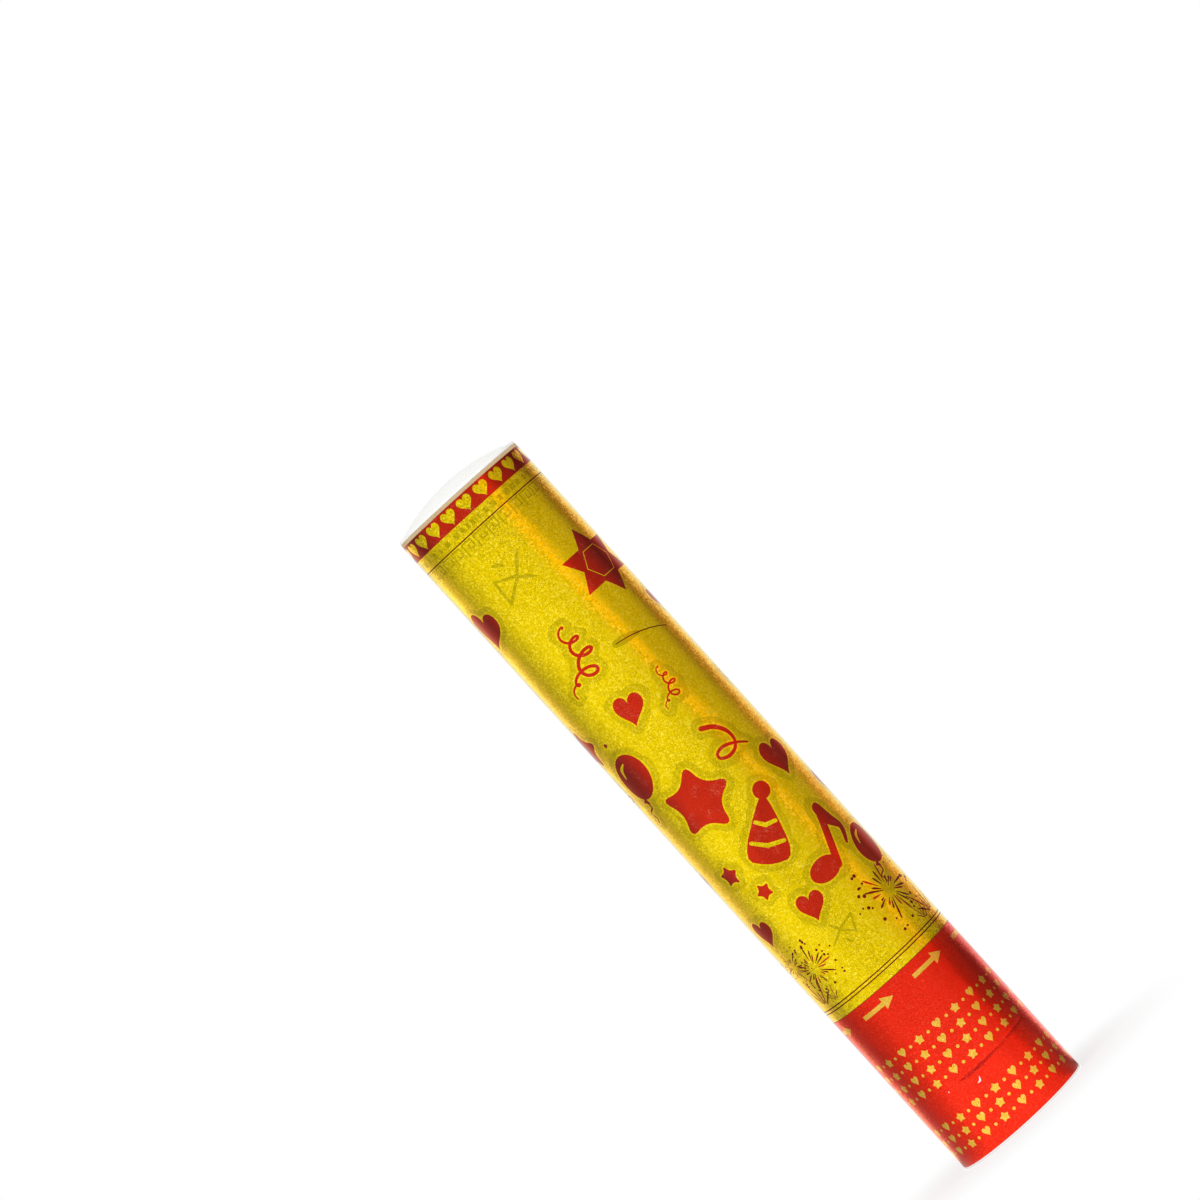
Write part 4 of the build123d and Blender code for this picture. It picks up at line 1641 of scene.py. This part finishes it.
    def build(self) -> None:
        """Builds the barrel and dresses the pieces glued into it."""
        self.build_tube()
        self.build_label()
        dress_node("valve_housing", VALVE_PLASTIC)
        dress_node("thrust_washer", WASHER_PLASTIC)


@dataclass
class Grip:
    """The short tube that turns: its red label, its base cap, and the air bottle inside."""

    body: str = "grip"
    skin: float = 0.11
    arrow_row: float = 60.5
    arrow_count: int = 7
    arrow_size: float = 4.6
    charm_rows: Row = (44.0, 39.1, 34.1, 29.1, 15.9, 11.4, 6.8)
    charm_count: int = 40
    charm_size: float = 3.4
    charms: tuple[tuple[Motif, float], ...] = (
        (Motif.HEART, 1.0), (Motif.DOT, 0.34), (Motif.STAR, 1.05), (Motif.DOT, 0.34),
    )
    charm_points: int = 30
    crease: Crease = Crease(((-7.0, 25.0), (2.0, 24.8), (9.0, 25.1), (18.0, 25.5), (27.0, 26.2)), 0.1, 0.5)
    crease_shade_widths: Row = (0.2, 1.2, 0.9, 1.5, 0.7, 1.1, 0.5, 0.2, 0.1, 0.5, 0.8, 0.4, 0.7, 0.2)
    nick: Stamp = Stamp(Motif.NICK, -2.2, 21.4, 2.2, -20.0)
    fleck: Place = (-12.8, 24.6, 0.25)
    foot_width: float = 6.0
    foot_slope: float = 0.4
    recess: float = 0.5
    flange: float = 0.8
    spigot_gap: float = 2.6
    spigot_wall: float = 1.6
    floor_top: float = 1.8
    gate_radius: float = 1.4
    gate_floor: float = 0.75
    gate_stub: float = 0.25

    def build_label(self) -> None:
        """Prints and rolls the red label, with its crease, the shade painted along it, and its nick."""
        low, high = corners_of("grip_foil_wrap")
        sheet = PrintedSheet(high.x - self.skin, low.z, high.z)
        sheet.creases.append(self.crease)
        # painted shade: a darker line along the crease's dent
        sheet.paint(Drawing().stroke(flowing(self.crease.line), self.crease_shade_widths, Print.LINE))
        for number in range(self.arrow_count):
            across = sheet.turn * (number / self.arrow_count - 0.5)
            sheet.paint(MotifDrawing(Motif.ARROW).placed(across, self.arrow_row, self.arrow_size))
        for row, height in enumerate(self.charm_rows):
            for number in range(self.charm_count):
                across = sheet.turn * ((number + 0.5 * row) / self.charm_count % 1.0 - 0.5)
                motif, share = self.charms[(number + row) % len(self.charms)]
                charm = MotifDrawing(motif).placed(across, height, self.charm_size * share)
                for patch in charm.patches:
                    thin = 2 if len(patch.outline) > self.charm_points else 1
                    sheet.paint(Drawing().fill(patch.outline[::thin], halo=False))
        sheet.paint(self.nick.draw(self.nick.across))
        sheet.paint(Drawing().fill(circle(*self.fleck, points=9), Print.BARE))
        finishes = {
            Print.GROUND: RED_FOIL,
            Print.MAIN: GOLD_PRINT,
            # the crease's painted shade
            Print.LINE: CREASE_SHADE_FOIL,
            Print.BARE: BARE_PAPER,
        }
        sheet.build(Piece("grip_label", self.body, "grip_foil_wrap", "red_foil"), finishes)

    def build_base_cap(self) -> None:
        """Moulds the base cap: a foot ring, a recess with its gate mark, and the spigot."""
        low, high = corners_of("base_cap")
        spigot = high.x - self.spigot_gap
        bore = spigot - self.spigot_wall
        foot = high.x - self.foot_width
        outline = filleted([
            (0.0, low.z + self.gate_stub, 0.0),
            (self.gate_radius * 0.4, low.z + self.gate_stub, 0.08),
            (self.gate_radius * 0.5, low.z + self.gate_floor, 0.08),
            (self.gate_radius, low.z + self.gate_floor, 0.1),
            (self.gate_radius * 1.2, low.z + self.recess, 0.1),
            (foot - self.foot_slope, low.z + self.recess, 0.3),
            (foot, low.z, 0.25),
            (high.x, low.z, 0.35),
            (high.x, low.z + self.flange, 0.1),
            (spigot, low.z + self.flange, 0.0),
            (spigot, high.z, 0.6),
            (bore, high.z, 0.3),
            (bore, low.z + self.floor_top, 0.8),
            (0.0, low.z + self.floor_top, 0.0),
        ])
        piece = Piece("base_cap_moulding", self.body, "base_cap", "white_plastic")
        piece.place(turned(outline), [WHITE_CAP])

    def build(self) -> None:
        """Builds the grip and dresses the bottle and the pieces on it."""
        self.build_label()
        self.build_base_cap()
        dress_node("grip_tube", KRAFT_CARD)
        dress_node("air_bottle", BOTTLE_PLASTIC)
        dress_node("bottle_end_plate", BOTTLE_PLASTIC)
        dress_node("fill_bung", BLACK_RUBBER)
        dress_node("bung_retainer", RETAINER_ALUMINIUM)
        dress_node("cam_collar", COLLAR_PLASTIC)
        dress_node("retaining_clip", CLIP_STEEL)


@dataclass
class ReleaseValve:
    """The plug that the twist lifts out of the bottle's neck."""

    plug: Finish = PLUG_PLASTIC
    seal: Finish = BLACK_RUBBER
    pin: Finish = PIN_STEEL

    def build(self) -> None:
        """Dresses the valve's own pieces."""
        dress_node("release_plug", self.plug)
        dress_node("plug_o_ring", self.seal)
        dress_node("cross_pin", self.pin)


@dataclass
class MuzzleCap:
    """The white cap that closes the muzzle until the shot lifts it off."""

    body: str = "cap"
    lip: float = 1.1
    lip_width: float = 1.4
    spigot_inset: float = 2.05
    wall: float = 1.0
    gate_radius: float = 1.3
    gate_depth: float = 0.35
    gate_rim: float = 0.02
    dome_start: float = 0.1
    dome_steps: int = 16
    vault_steps: int = 14

    def build(self) -> None:
        """Moulds the cap: a low dome with a gate mark, a lip and a spigot."""
        low, high = corners_of("muzzle_cap")
        muzzle = corners_of("barrel_tube")[1].z
        reach = high.x - self.lip_width
        spigot = high.x - self.spigot_inset
        bore = spigot - self.wall
        rise = high.z - muzzle - self.lip
        sphere = (reach ** 2 + rise ** 2) / (2.0 * rise)

        def on_dome(radius: float, drop: float) -> Place:
            """Gives a plain corner on the dome, or as far below it as drop says."""
            return radius, high.z - drop - sphere + math.sqrt(sphere ** 2 - radius ** 2), 0.0

        outer = np.linspace(self.dome_start, 1.0, self.dome_steps)
        dome = [on_dome(reach * share, 0.0) for share in outer[:-1]]
        vault = [on_dome(bore * share, self.wall) for share in np.linspace(1.0, 0.0, self.vault_steps)]
        outline = filleted([
            (0.0, high.z - self.gate_depth, 0.0),
            (self.gate_radius * 0.45, high.z - self.gate_depth, 0.1),
            (self.gate_radius * 0.8, high.z - self.gate_rim, 0.1),
            *dome,
            (reach, muzzle + self.lip, 0.5),
            (high.x, muzzle + self.lip, 0.4),
            (high.x, muzzle, 0.3),
            (spigot, muzzle, 0.0),
            (spigot, low.z, 0.5),
            (bore, low.z, 0.2),
            *vault,
        ])
        piece = Piece("muzzle_cap_moulding", self.body, "muzzle_cap", "white_plastic")
        piece.place(turned(outline), [WHITE_CAP])


@dataclass
class Charge:
    """What the popper throws: a pusher under bundles of slips, rolled streamers and stacks of stars."""

    body: str = "charge"
    pusher_segments: int = 96
    pusher_fillets: Point = (0.5, 0.35)
    slips_per_bundle: int = 26
    slip_grid: tuple[int, int] = (4, 12)
    slip_thickness: float = 0.1
    slip_trim: float = 0.9
    slip_room: float = 1.3
    slip_wave: float = 0.28
    slip_waves: Place = (0.21, 0.09, 0.5)
    slip_cross_wave: float = 0.3
    slip_shift: float = 0.4
    slip_turn: float = 0.006
    slip_seed: int = 40
    slip_edge: float = 60.0
    slip_roughness: float = 0.85
    ribbon_pitch: float = 0.36
    ribbon_thickness: float = 0.14
    ribbon_trim: float = 0.2
    ribbon_drift: float = 0.12
    ribbon_ripple: float = 0.03
    ribbon_ripples: float = 5.0
    ribbon_steps: int = 26
    ribbon_seed: int = 70
    ribbon_roughness: float = 0.2
    ribbon_grain: Grain = Grain(crinkle=20.0)
    star_film: float = 0.12
    star_tip_lift: float = 0.25
    star_corners: int = 10
    star_edge: float = 1.0
    star_roughness: float = 0.18
    star_sparkle: float = 0.25

    def build_pusher(self) -> None:
        """Cuts the pusher disc from grey board, with a crushed edge."""
        low, high = corners_of("pusher_disc")
        under, over = self.pusher_fillets
        corners = [(0.0, low.z, 0.0), (high.x, low.z, under), (high.x, high.z, over), (0.0, high.z, 0.0)]
        shape = turned(filleted(corners), self.pusher_segments)
        Piece("pusher_board", self.body, "pusher_disc", "grey_board").place(shape, [GREY_BOARD])

    def slip(self, low: Vector, high: Vector, stack: int, level: float, draw: random.Random) -> Mesh:
        """Makes one slip of a bundle, a little out of line with the rest.

        Args:
            low: the bundle's lowest corner, in millimetres.
            high: its highest corner.
            stack: the axis that the slips are stacked along, 0 or 1.
            level: the slip's place in the stack.
            draw: the bundle's random numbers.

        Returns:
            The slip's closed mesh.
        """
        wide_axis, (columns, rows) = 1 - stack, self.slip_grid
        long_wave, lean, cross_wave = self.slip_waves
        middle = (low + high) / 2.0
        half_wide = (high[wide_axis] - low[wide_axis] - self.slip_trim) / 2.0
        half_long = (high.z - low.z - self.slip_trim) / 2.0
        across, along = (draw.uniform(-self.slip_shift, self.slip_shift) for _ in range(2))
        turn = draw.uniform(-self.slip_turn, self.slip_turn)
        vertices = []
        for side in (-0.5, 0.5):
            for row in range(rows + 1):
                for column in range(columns + 1):
                    x = half_wide * (2.0 * column / columns - 1.0)
                    z = half_long * (2.0 * row / rows - 1.0)
                    wave = math.sin(long_wave * z + lean * x + low.z)
                    wave += self.slip_cross_wave * math.sin(cross_wave * x)
                    point = Vector((0.0, 0.0, middle.z + z + along + turn * x))
                    point[wide_axis] = middle[wide_axis] + x + across - turn * z
                    point[stack] = level + self.slip_wave * wave + side * self.slip_thickness
                    vertices.append(point)
        layer = (rows + 1) * (columns + 1)
        faces = []
        for row in range(rows):
            for column in range(columns):
                a = row * (columns + 1) + column
                loop = [a, a + 1, a + columns + 2, a + columns + 1]
                faces += [loop[::-1], [i + layer for i in loop]]
        edge = [*range(columns), *(r * (columns + 1) + columns for r in range(rows))]
        edge += [layer - 1 - c for c in range(columns)] + [(rows - r) * (columns + 1) for r in range(rows)]
        faces += [[a, b, b + layer, a + layer] for a, b in zip(edge, edge[1:] + edge[:1])]
        return vertices, faces

    def bundle(self, solid: np.ndarray, draw: random.Random) -> Mesh:
        """Stacks one bundle of slips.

        Args:
            solid: the corner points of the bundle's solid.
            draw: the bundle's random numbers.

        Returns:
            The slips in one mesh.
        """
        low, high = Vector(solid.min(0)), Vector(solid.max(0))
        stack = 0 if high.x - low.x < high.y - low.y else 1
        room = self.slip_room * self.slip_wave + self.slip_thickness
        levels = np.linspace(low[stack] + room, high[stack] - room, self.slips_per_bundle)
        return joined(self.slip(low, high, stack, level, draw) for level in levels)

    def roll(self, solid: np.ndarray, draw: random.Random) -> Mesh:
        """Rolls one streamer up.

        Args:
            solid: the corner points of the roll's solid.
            draw: random numbers for its loose turns.

        Returns:
            The ribbon's closed mesh.
        """
        low, high = solid.min(0), solid.max(0)
        centre = (low + high) / 2.0
        spread = np.hypot(solid[:, 0] - centre[0], solid[:, 1] - centre[1])
        core, reach = spread.min() + self.ribbon_thickness, spread.max() - self.ribbon_thickness
        turns = (reach - core) / self.ribbon_pitch
        start = draw.uniform(0.0, FULL_TURN)
        drifts = [draw.uniform(-self.ribbon_drift, self.ribbon_drift) for _ in range(int(turns) + 3)]
        foot, top = low[2] + self.ribbon_trim, high[2] - self.ribbon_trim
        vertices, faces = [], []
        count = int(turns * self.ribbon_steps)
        for step in range(count + 1):
            turn = step / self.ribbon_steps
            angle = start + FULL_TURN * turn
            ripple = self.ribbon_ripple * math.sin(self.ribbon_ripples * angle)
            radius = core + self.ribbon_pitch * turn + ripple
            whole = int(turn)
            drift = drifts[whole] + (drifts[whole + 1] - drifts[whole]) * (turn - whole)
            for side, height in ((0.5, foot), (0.5, top), (-0.5, top), (-0.5, foot)):
                x, y = polar(radius + side * self.ribbon_thickness, angle)
                vertices.append(Vector((centre[0] + x, centre[1] + y, height + drift)))
            if step:
                a = 4 * (step - 1)
                faces += [[a + k, a + (k + 1) % 4, a + 4 + (k + 1) % 4, a + 4 + k] for k in range(4)]
        return vertices, [[0, 1, 2, 3], *faces, [4 * count + k for k in (3, 2, 1, 0)]]

    def star(self, solid: np.ndarray) -> Mesh:
        """Embosses one foil star: ridges out to its points, valleys between them.

        Args:
            solid: the corner points of the star's solid.

        Returns:
            The star's closed mesh.
        """
        low, high = solid.min(0), solid.max(0)
        centre, count = solid.mean(0), self.star_corners
        spread = np.hypot(solid[:, 0] - centre[0], solid[:, 1] - centre[1])
        tip = solid[int(spread.argmax())]
        start = math.atan2(tip[1] - centre[1], tip[0] - centre[0])
        crown = high[2] - low[2] - self.star_film
        radii, lifts = (spread.max(), spread.min()), (crown * self.star_tip_lift, 0.0)
        vertices = []
        for height in (low[2], low[2] + self.star_film):
            vertices.append(Vector((centre[0], centre[1], height + crown)))
            for step in range(count):
                x, y = polar(radii[step % 2], start + FULL_TURN * step / count)
                vertices.append(Vector((centre[0] + x, centre[1] + y, height + lifts[step % 2])))
        faces = []
        over = count + 1
        for step in range(count):
            a, b = 1 + step, 1 + (step + 1) % count
            faces += [[0, b, a], [over, over + a, over + b], [a, b, over + b, over + a]]
        return vertices, faces

    def build(self) -> None:
        """Builds the whole charge."""
        self.build_pusher()
        for seed, (colour, dye) in enumerate(SLIP_DYES.items(), self.slip_seed):
            node, draw = "slips_" + colour, random.Random(seed)
            shape = joined(self.bundle(solid, draw) for solid in solids_of(node))
            finish = Tissue(colour.capitalize() + " tissue", dye, self.slip_roughness)
            piece = Piece(node + "_paper", self.body, node, "tissue_" + colour)
            piece.place(shape, [finish], self.slip_edge)
        for seed, (colour, film) in enumerate(STREAMER_FOILS.items(), self.ribbon_seed):
            node, draw = "streamers_" + colour, random.Random(seed)
            shape = joined(self.roll(solid, draw) for solid in solids_of(node))
            name = colour.capitalize() + " streamer foil"
            finish = Foil(name, film, self.ribbon_roughness, grain=self.ribbon_grain)
            Piece(node + "_ribbon", self.body, node, "streamer_" + colour).place(shape, [finish])
        for colour, film in STAR_FOILS.items():
            node = "stars_" + colour
            shape = joined(self.star(solid) for solid in solids_of(node))
            finish = Foil(colour.capitalize() + " star foil", film, self.star_roughness, self.star_sparkle)
            piece = Piece(node + "_foil", self.body, node, "star_" + colour)
            piece.place(shape, [finish], self.star_edge)


# The studio


SURROUND_STOPS: tuple[Ramp, ...] = (
    (-150.0, 1.35, 1.2, 0.9),
    (-142.0, 1.3, 1.1, 0.75),
    (-134.0, 1.1, 0.9, 0.6),
    (-126.0, 0.74, 0.62, 0.46),
    (-118.0, 0.6, 0.53, 0.46),
    (-106.0, 0.52, 0.5, 0.46),
    (-94.0, 0.66, 0.66, 0.64),
    (-66.0, 0.96, 0.96, 0.94),
    (-52.0, 1.04, 1.04, 1.0),
    (-40.0, 1.0, 1.0, 1.0),
    (30.0, 0.98, 0.95, 0.94),
    (48.0, 0.86, 0.76, 0.72),
    (57.0, 0.72, 0.6, 0.54),
    (64.0, 1.0, 0.7, 0.6),
    (70.0, 1.0, 0.7, 0.6),
    (78.0, 0.6, 0.52, 0.44),
    (98.0, 0.54, 0.48, 0.42),
    (112.0, 0.28, 0.2, 0.16),
    (124.0, 0.5, 0.26, 0.22),
    (140.0, 1.1, 0.8, 0.7),
    (150.0, 1.05, 1.0, 0.9),
)


@dataclass(frozen=True)
class Gain:
    """A part of the surround that is lit more or less than the rest of its strips.

    Both ramps say where it starts, where it is full from and to, and where it ends.
    """

    bearings: Ramp
    heights: Ramp
    factor: float

    def at(self, bearing: np.ndarray, height: np.ndarray) -> np.ndarray:
        """Gives the level at bearings in degrees and heights in metres."""
        share = np.interp(bearing, self.bearings, UP_AND_DOWN) * np.interp(height, self.heights, UP_AND_DOWN)
        return 1.0 + (self.factor - 1.0) * share


ALL_ROUND: Ramp = (-181.0, -180.0, 180.0, 181.0)
GAINS = (
    Gain(ALL_ROUND, (-1.0, 0.0, 0.012, 0.042), 1.3),
    Gain((58.0, 72.0, 124.0, 136.0), (-1.0, 0.0, 0.001, 0.009), 0.6),
    Gain((58.0, 72.0, 124.0, 136.0), (0.004, 0.018, 0.046, 0.06), 0.56),
    Gain((-140.0, -126.0, -70.0, -46.0), (-1.0, 0.0, 0.046, 0.06), 0.78),
    Gain((-140.0, -126.0, -80.0, -50.0), (0.05, 0.06, 0.1, 0.14), 1.18),
    Gain((-34.0, -20.0, 40.0, 58.0), (0.05, 0.06, 0.1, 0.14), 0.83),
    Gain((0.0, 12.0, 44.0, 60.0), (0.1, 0.14, 0.21, 0.24), 0.89),
    Gain((100.0, 108.0, 126.0, 136.0), (0.05, 0.06, 0.12, 0.2), 1.55),
    Gain((40.0, 50.0, 74.0, 84.0), (0.17, 0.25, 0.95, 1.0), 1.34),
    Gain((70.0, 80.0, 106.0, 114.0), (0.17, 0.25, 0.95, 1.0), 1.18),
    Gain((-148.0, -140.0, -118.0, -104.0), (0.19, 0.24, 0.95, 1.0), 1.4),
    Gain(ALL_ROUND, (0.268, 0.284, 0.95, 1.0), 0.7),
)


@dataclass(frozen=True)
class Lamp:
    """A large soft lamp: where it hangs and how wide it is, in metres, and its power in watts."""

    name: str
    place: Place
    size: float
    power: float


@dataclass
class Studio:
    """The camera at the photograph's angle, soft light, a white floor and the card that the foil reflects."""

    camera_place: Place = (0.0113, -2.05, 0.220)
    roll: float = 42.2
    lens: float = 186.5
    sensor: float = 36.0
    clip_start: float = 0.05
    lamps: tuple[Lamp, ...] = (
        Lamp("key", (-0.9, -1.3, 1.4), 1.0, 14.0),
        Lamp("fill", (1.2, -1.0, 0.9), 1.2, 7.0),
    )
    lamps_aim: Place = (0.0, 0.0, 0.14)
    light_level: float = 0.62
    surround_section: tuple[Point, ...] = (
        (0.027, 0.0001), (0.075, 0.001), (0.16, 0.03), (0.27, 0.07), (0.32, 0.13), (0.32, 0.3), (0.32, 0.9),
    )
    surround_rows: int = 8
    surround_strips: int = 500
    slat_pitch: float = 4.8
    slat_depth: float = 0.6
    slat_bearings: Ramp = (-56.0, -34.0, 18.0, 34.0)
    streak_lean: float = 27.0
    streak_bearings: Ramp = (30.0, 60.0, 85.0, 110.0)
    streak_heights: Point = (0.06, 0.25)
    floor_grey: Colour = (0.92, 0.92, 0.92)
    floor_clearance: float = 0.0002
    floor_reach: float = 4.0
    floor_steps: int = 96
    floor_drop: float = 0.0001
    shadow_edges: Point = (0.03, 0.08)
    shadow_strength: float = 0.32

    def build_camera(self) -> None:
        """Sets the camera up, rolled so that the popper leans to the upper left."""
        camera = bpy.data.cameras.new("camera")
        camera.lens = self.lens
        camera.sensor_width = self.sensor
        camera.clip_start = self.clip_start
        made = put_in_scene("camera", camera)
        cosine, sine = polar(1.0, math.radians(self.roll))
        right, up, back = Vector((cosine, 0.0, -sine)), Vector((sine, 0.0, cosine)), Vector((0.0, -1.0, 0.0))
        facing = Matrix((right, up, back)).transposed().to_4x4()
        made.matrix_world = Matrix.Translation(self.camera_place) @ facing
        bpy.context.scene.camera = made

    def build_lights(self) -> None:
        """Hangs the soft lamps, which the foil doesn't reflect."""
        for lamp in self.lamps:
            light = bpy.data.lights.new(lamp.name, "AREA")
            light.size = lamp.size
            light.energy = lamp.power
            made = put_in_scene(lamp.name, light)
            made.location = lamp.place
            aim = Vector(self.lamps_aim) - made.location
            made.rotation_euler = aim.to_track_quat("-Z", "Y").to_euler()
            made.visible_glossy = False

    @staticmethod
    def seen_rays(wiring: Wiring) -> tuple[Socket, Socket]:
        """Gives two masks: camera rays, and rays that a gloss or a glass sends out."""
        path, names = wiring.node("LightPath").outputs, ("Is Glossy Ray", "Is Transmission Ray")
        return path["Is Camera Ray"], wiring.sum("MAXIMUM", *(path[name] for name in names))

    @staticmethod
    def stage_piece(
        name: str, points: Sequence, faces: Sequence, finish: str
    ) -> tuple[bpy.types.Object, Wiring]:
        """Makes a piece of the studio, whose material has no shader yet.

        Args:
            name: the piece's name.
            points: its vertices, in metres.
            faces: its faces.
            finish: the material's name.

        Returns:
            The piece, and its material's wiring.
        """
        mesh = bpy.data.meshes.new(name)
        mesh.from_pydata(points, [], faces)
        material = bpy.data.materials.new(finish)
        material.use_nodes = True
        nodes = material.node_tree.nodes
        nodes.remove(nodes["Principled BSDF"])
        mesh.materials.append(material)
        return put_in_scene(name, mesh), Wiring(material.node_tree)

    def build_world(self) -> None:
        """Makes the surroundings white to look at and a plain level of light on the part."""
        world = bpy.data.worlds.new("studio")
        bpy.context.scene.world = world
        world.use_nodes = True
        wiring = Wiring(world.node_tree)
        camera, gloss = self.seen_rays(wiring)
        plain = wiring.node("Background", {"Color": WHITE, "Strength": self.light_level})
        white = wiring.node("Background", {"Color": WHITE, "Strength": 1.0})
        shown = wiring.mix_shaders(wiring.sum("MAXIMUM", camera, gloss), plain, white)
        wiring.feed(world.node_tree.nodes["World Output"].inputs["Surface"], shown.outputs[0])

    def build_floor(self) -> None:
        """Lays a white floor that keeps the part's shadow, is open under the part and is clear from below."""
        around = [FULL_TURN * step / self.floor_steps for step in range(self.floor_steps)]
        radii = (corners_of("base_cap")[1].x * MM + self.floor_clearance, self.floor_reach)
        points = [(*polar(radius, angle), -self.floor_drop) for angle in around for radius in radii]
        count = len(points)
        faces = [(k, k + 1, (k + 3) % count, (k + 2) % count) for k in range(0, count, 2)]
        made, wiring = self.stage_piece("floor", points, faces, "White floor")
        camera, gloss = self.seen_rays(wiring)
        distance = wiring.node("VectorMath", {0: wiring.place()}, operation="LENGTH").outputs["Value"]
        far = wiring.span(distance, self.shadow_edges, (1.0 - self.shadow_strength, 1.0))
        share = wiring.sum("MAXIMUM", wiring.sum("MULTIPLY", camera, far), gloss)
        matt = wiring.node("BsdfDiffuse", {"Color": opaque(self.floor_grey)})
        glow = wiring.node("Emission", {"Color": WHITE, "Strength": 1.0})
        below = wiring.node("NewGeometry").outputs["Backfacing"]
        clear = wiring.node("BsdfTransparent")
        shown = wiring.mix_shaders(below, wiring.mix_shaders(share, matt, glow), clear)
        wiring.feed(wiring.tree.nodes["Material Output"].inputs["Surface"], shown.outputs[0])

    def leaned(self, bearings: np.ndarray, heights: np.ndarray) -> np.ndarray:
        """Swings the bright streak on the right round to the front as it rises."""
        rise = np.interp(heights, self.streak_heights, (0.0, 1.0))
        return bearings - self.streak_lean * rise * np.interp(bearings, self.streak_bearings, UP_AND_DOWN)

    def glow(self, bearings: np.ndarray, heights: np.ndarray) -> np.ndarray:
        """Works out the surround's light, with slats ahead that the foil's grain breaks into sparkle.

        Args:
            bearings: strips of the surround, in degrees.
            heights: heights on them, in metres.

        Returns:
            A colour with an alpha for each.
        """
        stops = np.array(SURROUND_STOPS)
        slats = self.slat_depth * np.interp(bearings, self.slat_bearings, UP_AND_DOWN)
        level = 1.0 + slats * np.sin(FULL_TURN * bearings / self.slat_pitch)
        for gain in GAINS:
            level = level * gain.at(bearings, heights)
        channels = [level * np.interp(bearings, stops[:, 0], stops[:, number]) for number in (1, 2, 3)]
        return np.stack((*channels, np.ones(len(bearings))), axis=1)

    def build_surround(self) -> None:
        """Stands a curved card round the part that only gloss sees, bright ahead and dim to the sides."""
        section = np.array(self.surround_section)
        rows = np.linspace(0.0, len(section) - 1.0, self.surround_rows * (len(section) - 1) + 1)
        radii, heights = (np.interp(rows, range(len(section)), section[:, side]) for side in (0, 1))
        strips = np.linspace(SURROUND_STOPS[0][0], SURROUND_STOPS[-1][0], self.surround_strips + 1)
        tall = len(rows)
        bearings, heights = np.repeat(strips, tall), np.tile(heights, len(strips))
        radii, turns = np.tile(radii, len(strips)), np.radians(self.leaned(bearings, heights))
        points = np.stack((radii * np.sin(turns), -radii * np.cos(turns), heights), axis=1)
        faces = []
        for base in range(0, tall * self.surround_strips, tall):
            faces += [(base + k, base + k + 1, base + tall + k + 1, base + tall + k) for k in range(tall - 1)]
        made, wiring = self.stage_piece("surround", points.tolist(), faces, "Graded surround")
        colours = made.data.attributes.new("glow", "FLOAT_COLOR", "POINT")
        colours.data.foreach_set("color", self.glow(bearings, heights).ravel())
        lit = wiring.node("Attribute", attribute_name="glow").outputs["Color"]
        glow = wiring.node("Emission", {"Color": lit, "Strength": 1.0})
        wiring.feed(wiring.tree.nodes["Material Output"].inputs["Surface"], glow.outputs[0])
        made.visible_camera = False
        made.visible_diffuse = False
        made.visible_shadow = False

    def build(self) -> None:
        """Sets the whole studio up."""
        bpy.context.scene.view_settings.view_transform = "Standard"
        self.build_camera()
        self.build_lights()
        self.build_world()
        self.build_floor()
        self.build_surround()


def main() -> None:
    """Builds the studio and every sub-assembly in order."""
    logging.basicConfig(level=logging.INFO, format="%(name)s: %(message)s")
    for assembly in (Studio(), Barrel(), Grip(), ReleaseValve(), Charge(), MuzzleCap()):
        assembly.build()
        LOG.info("%s is in place", type(assembly).__name__)


if __name__ == "__main__":
    main()
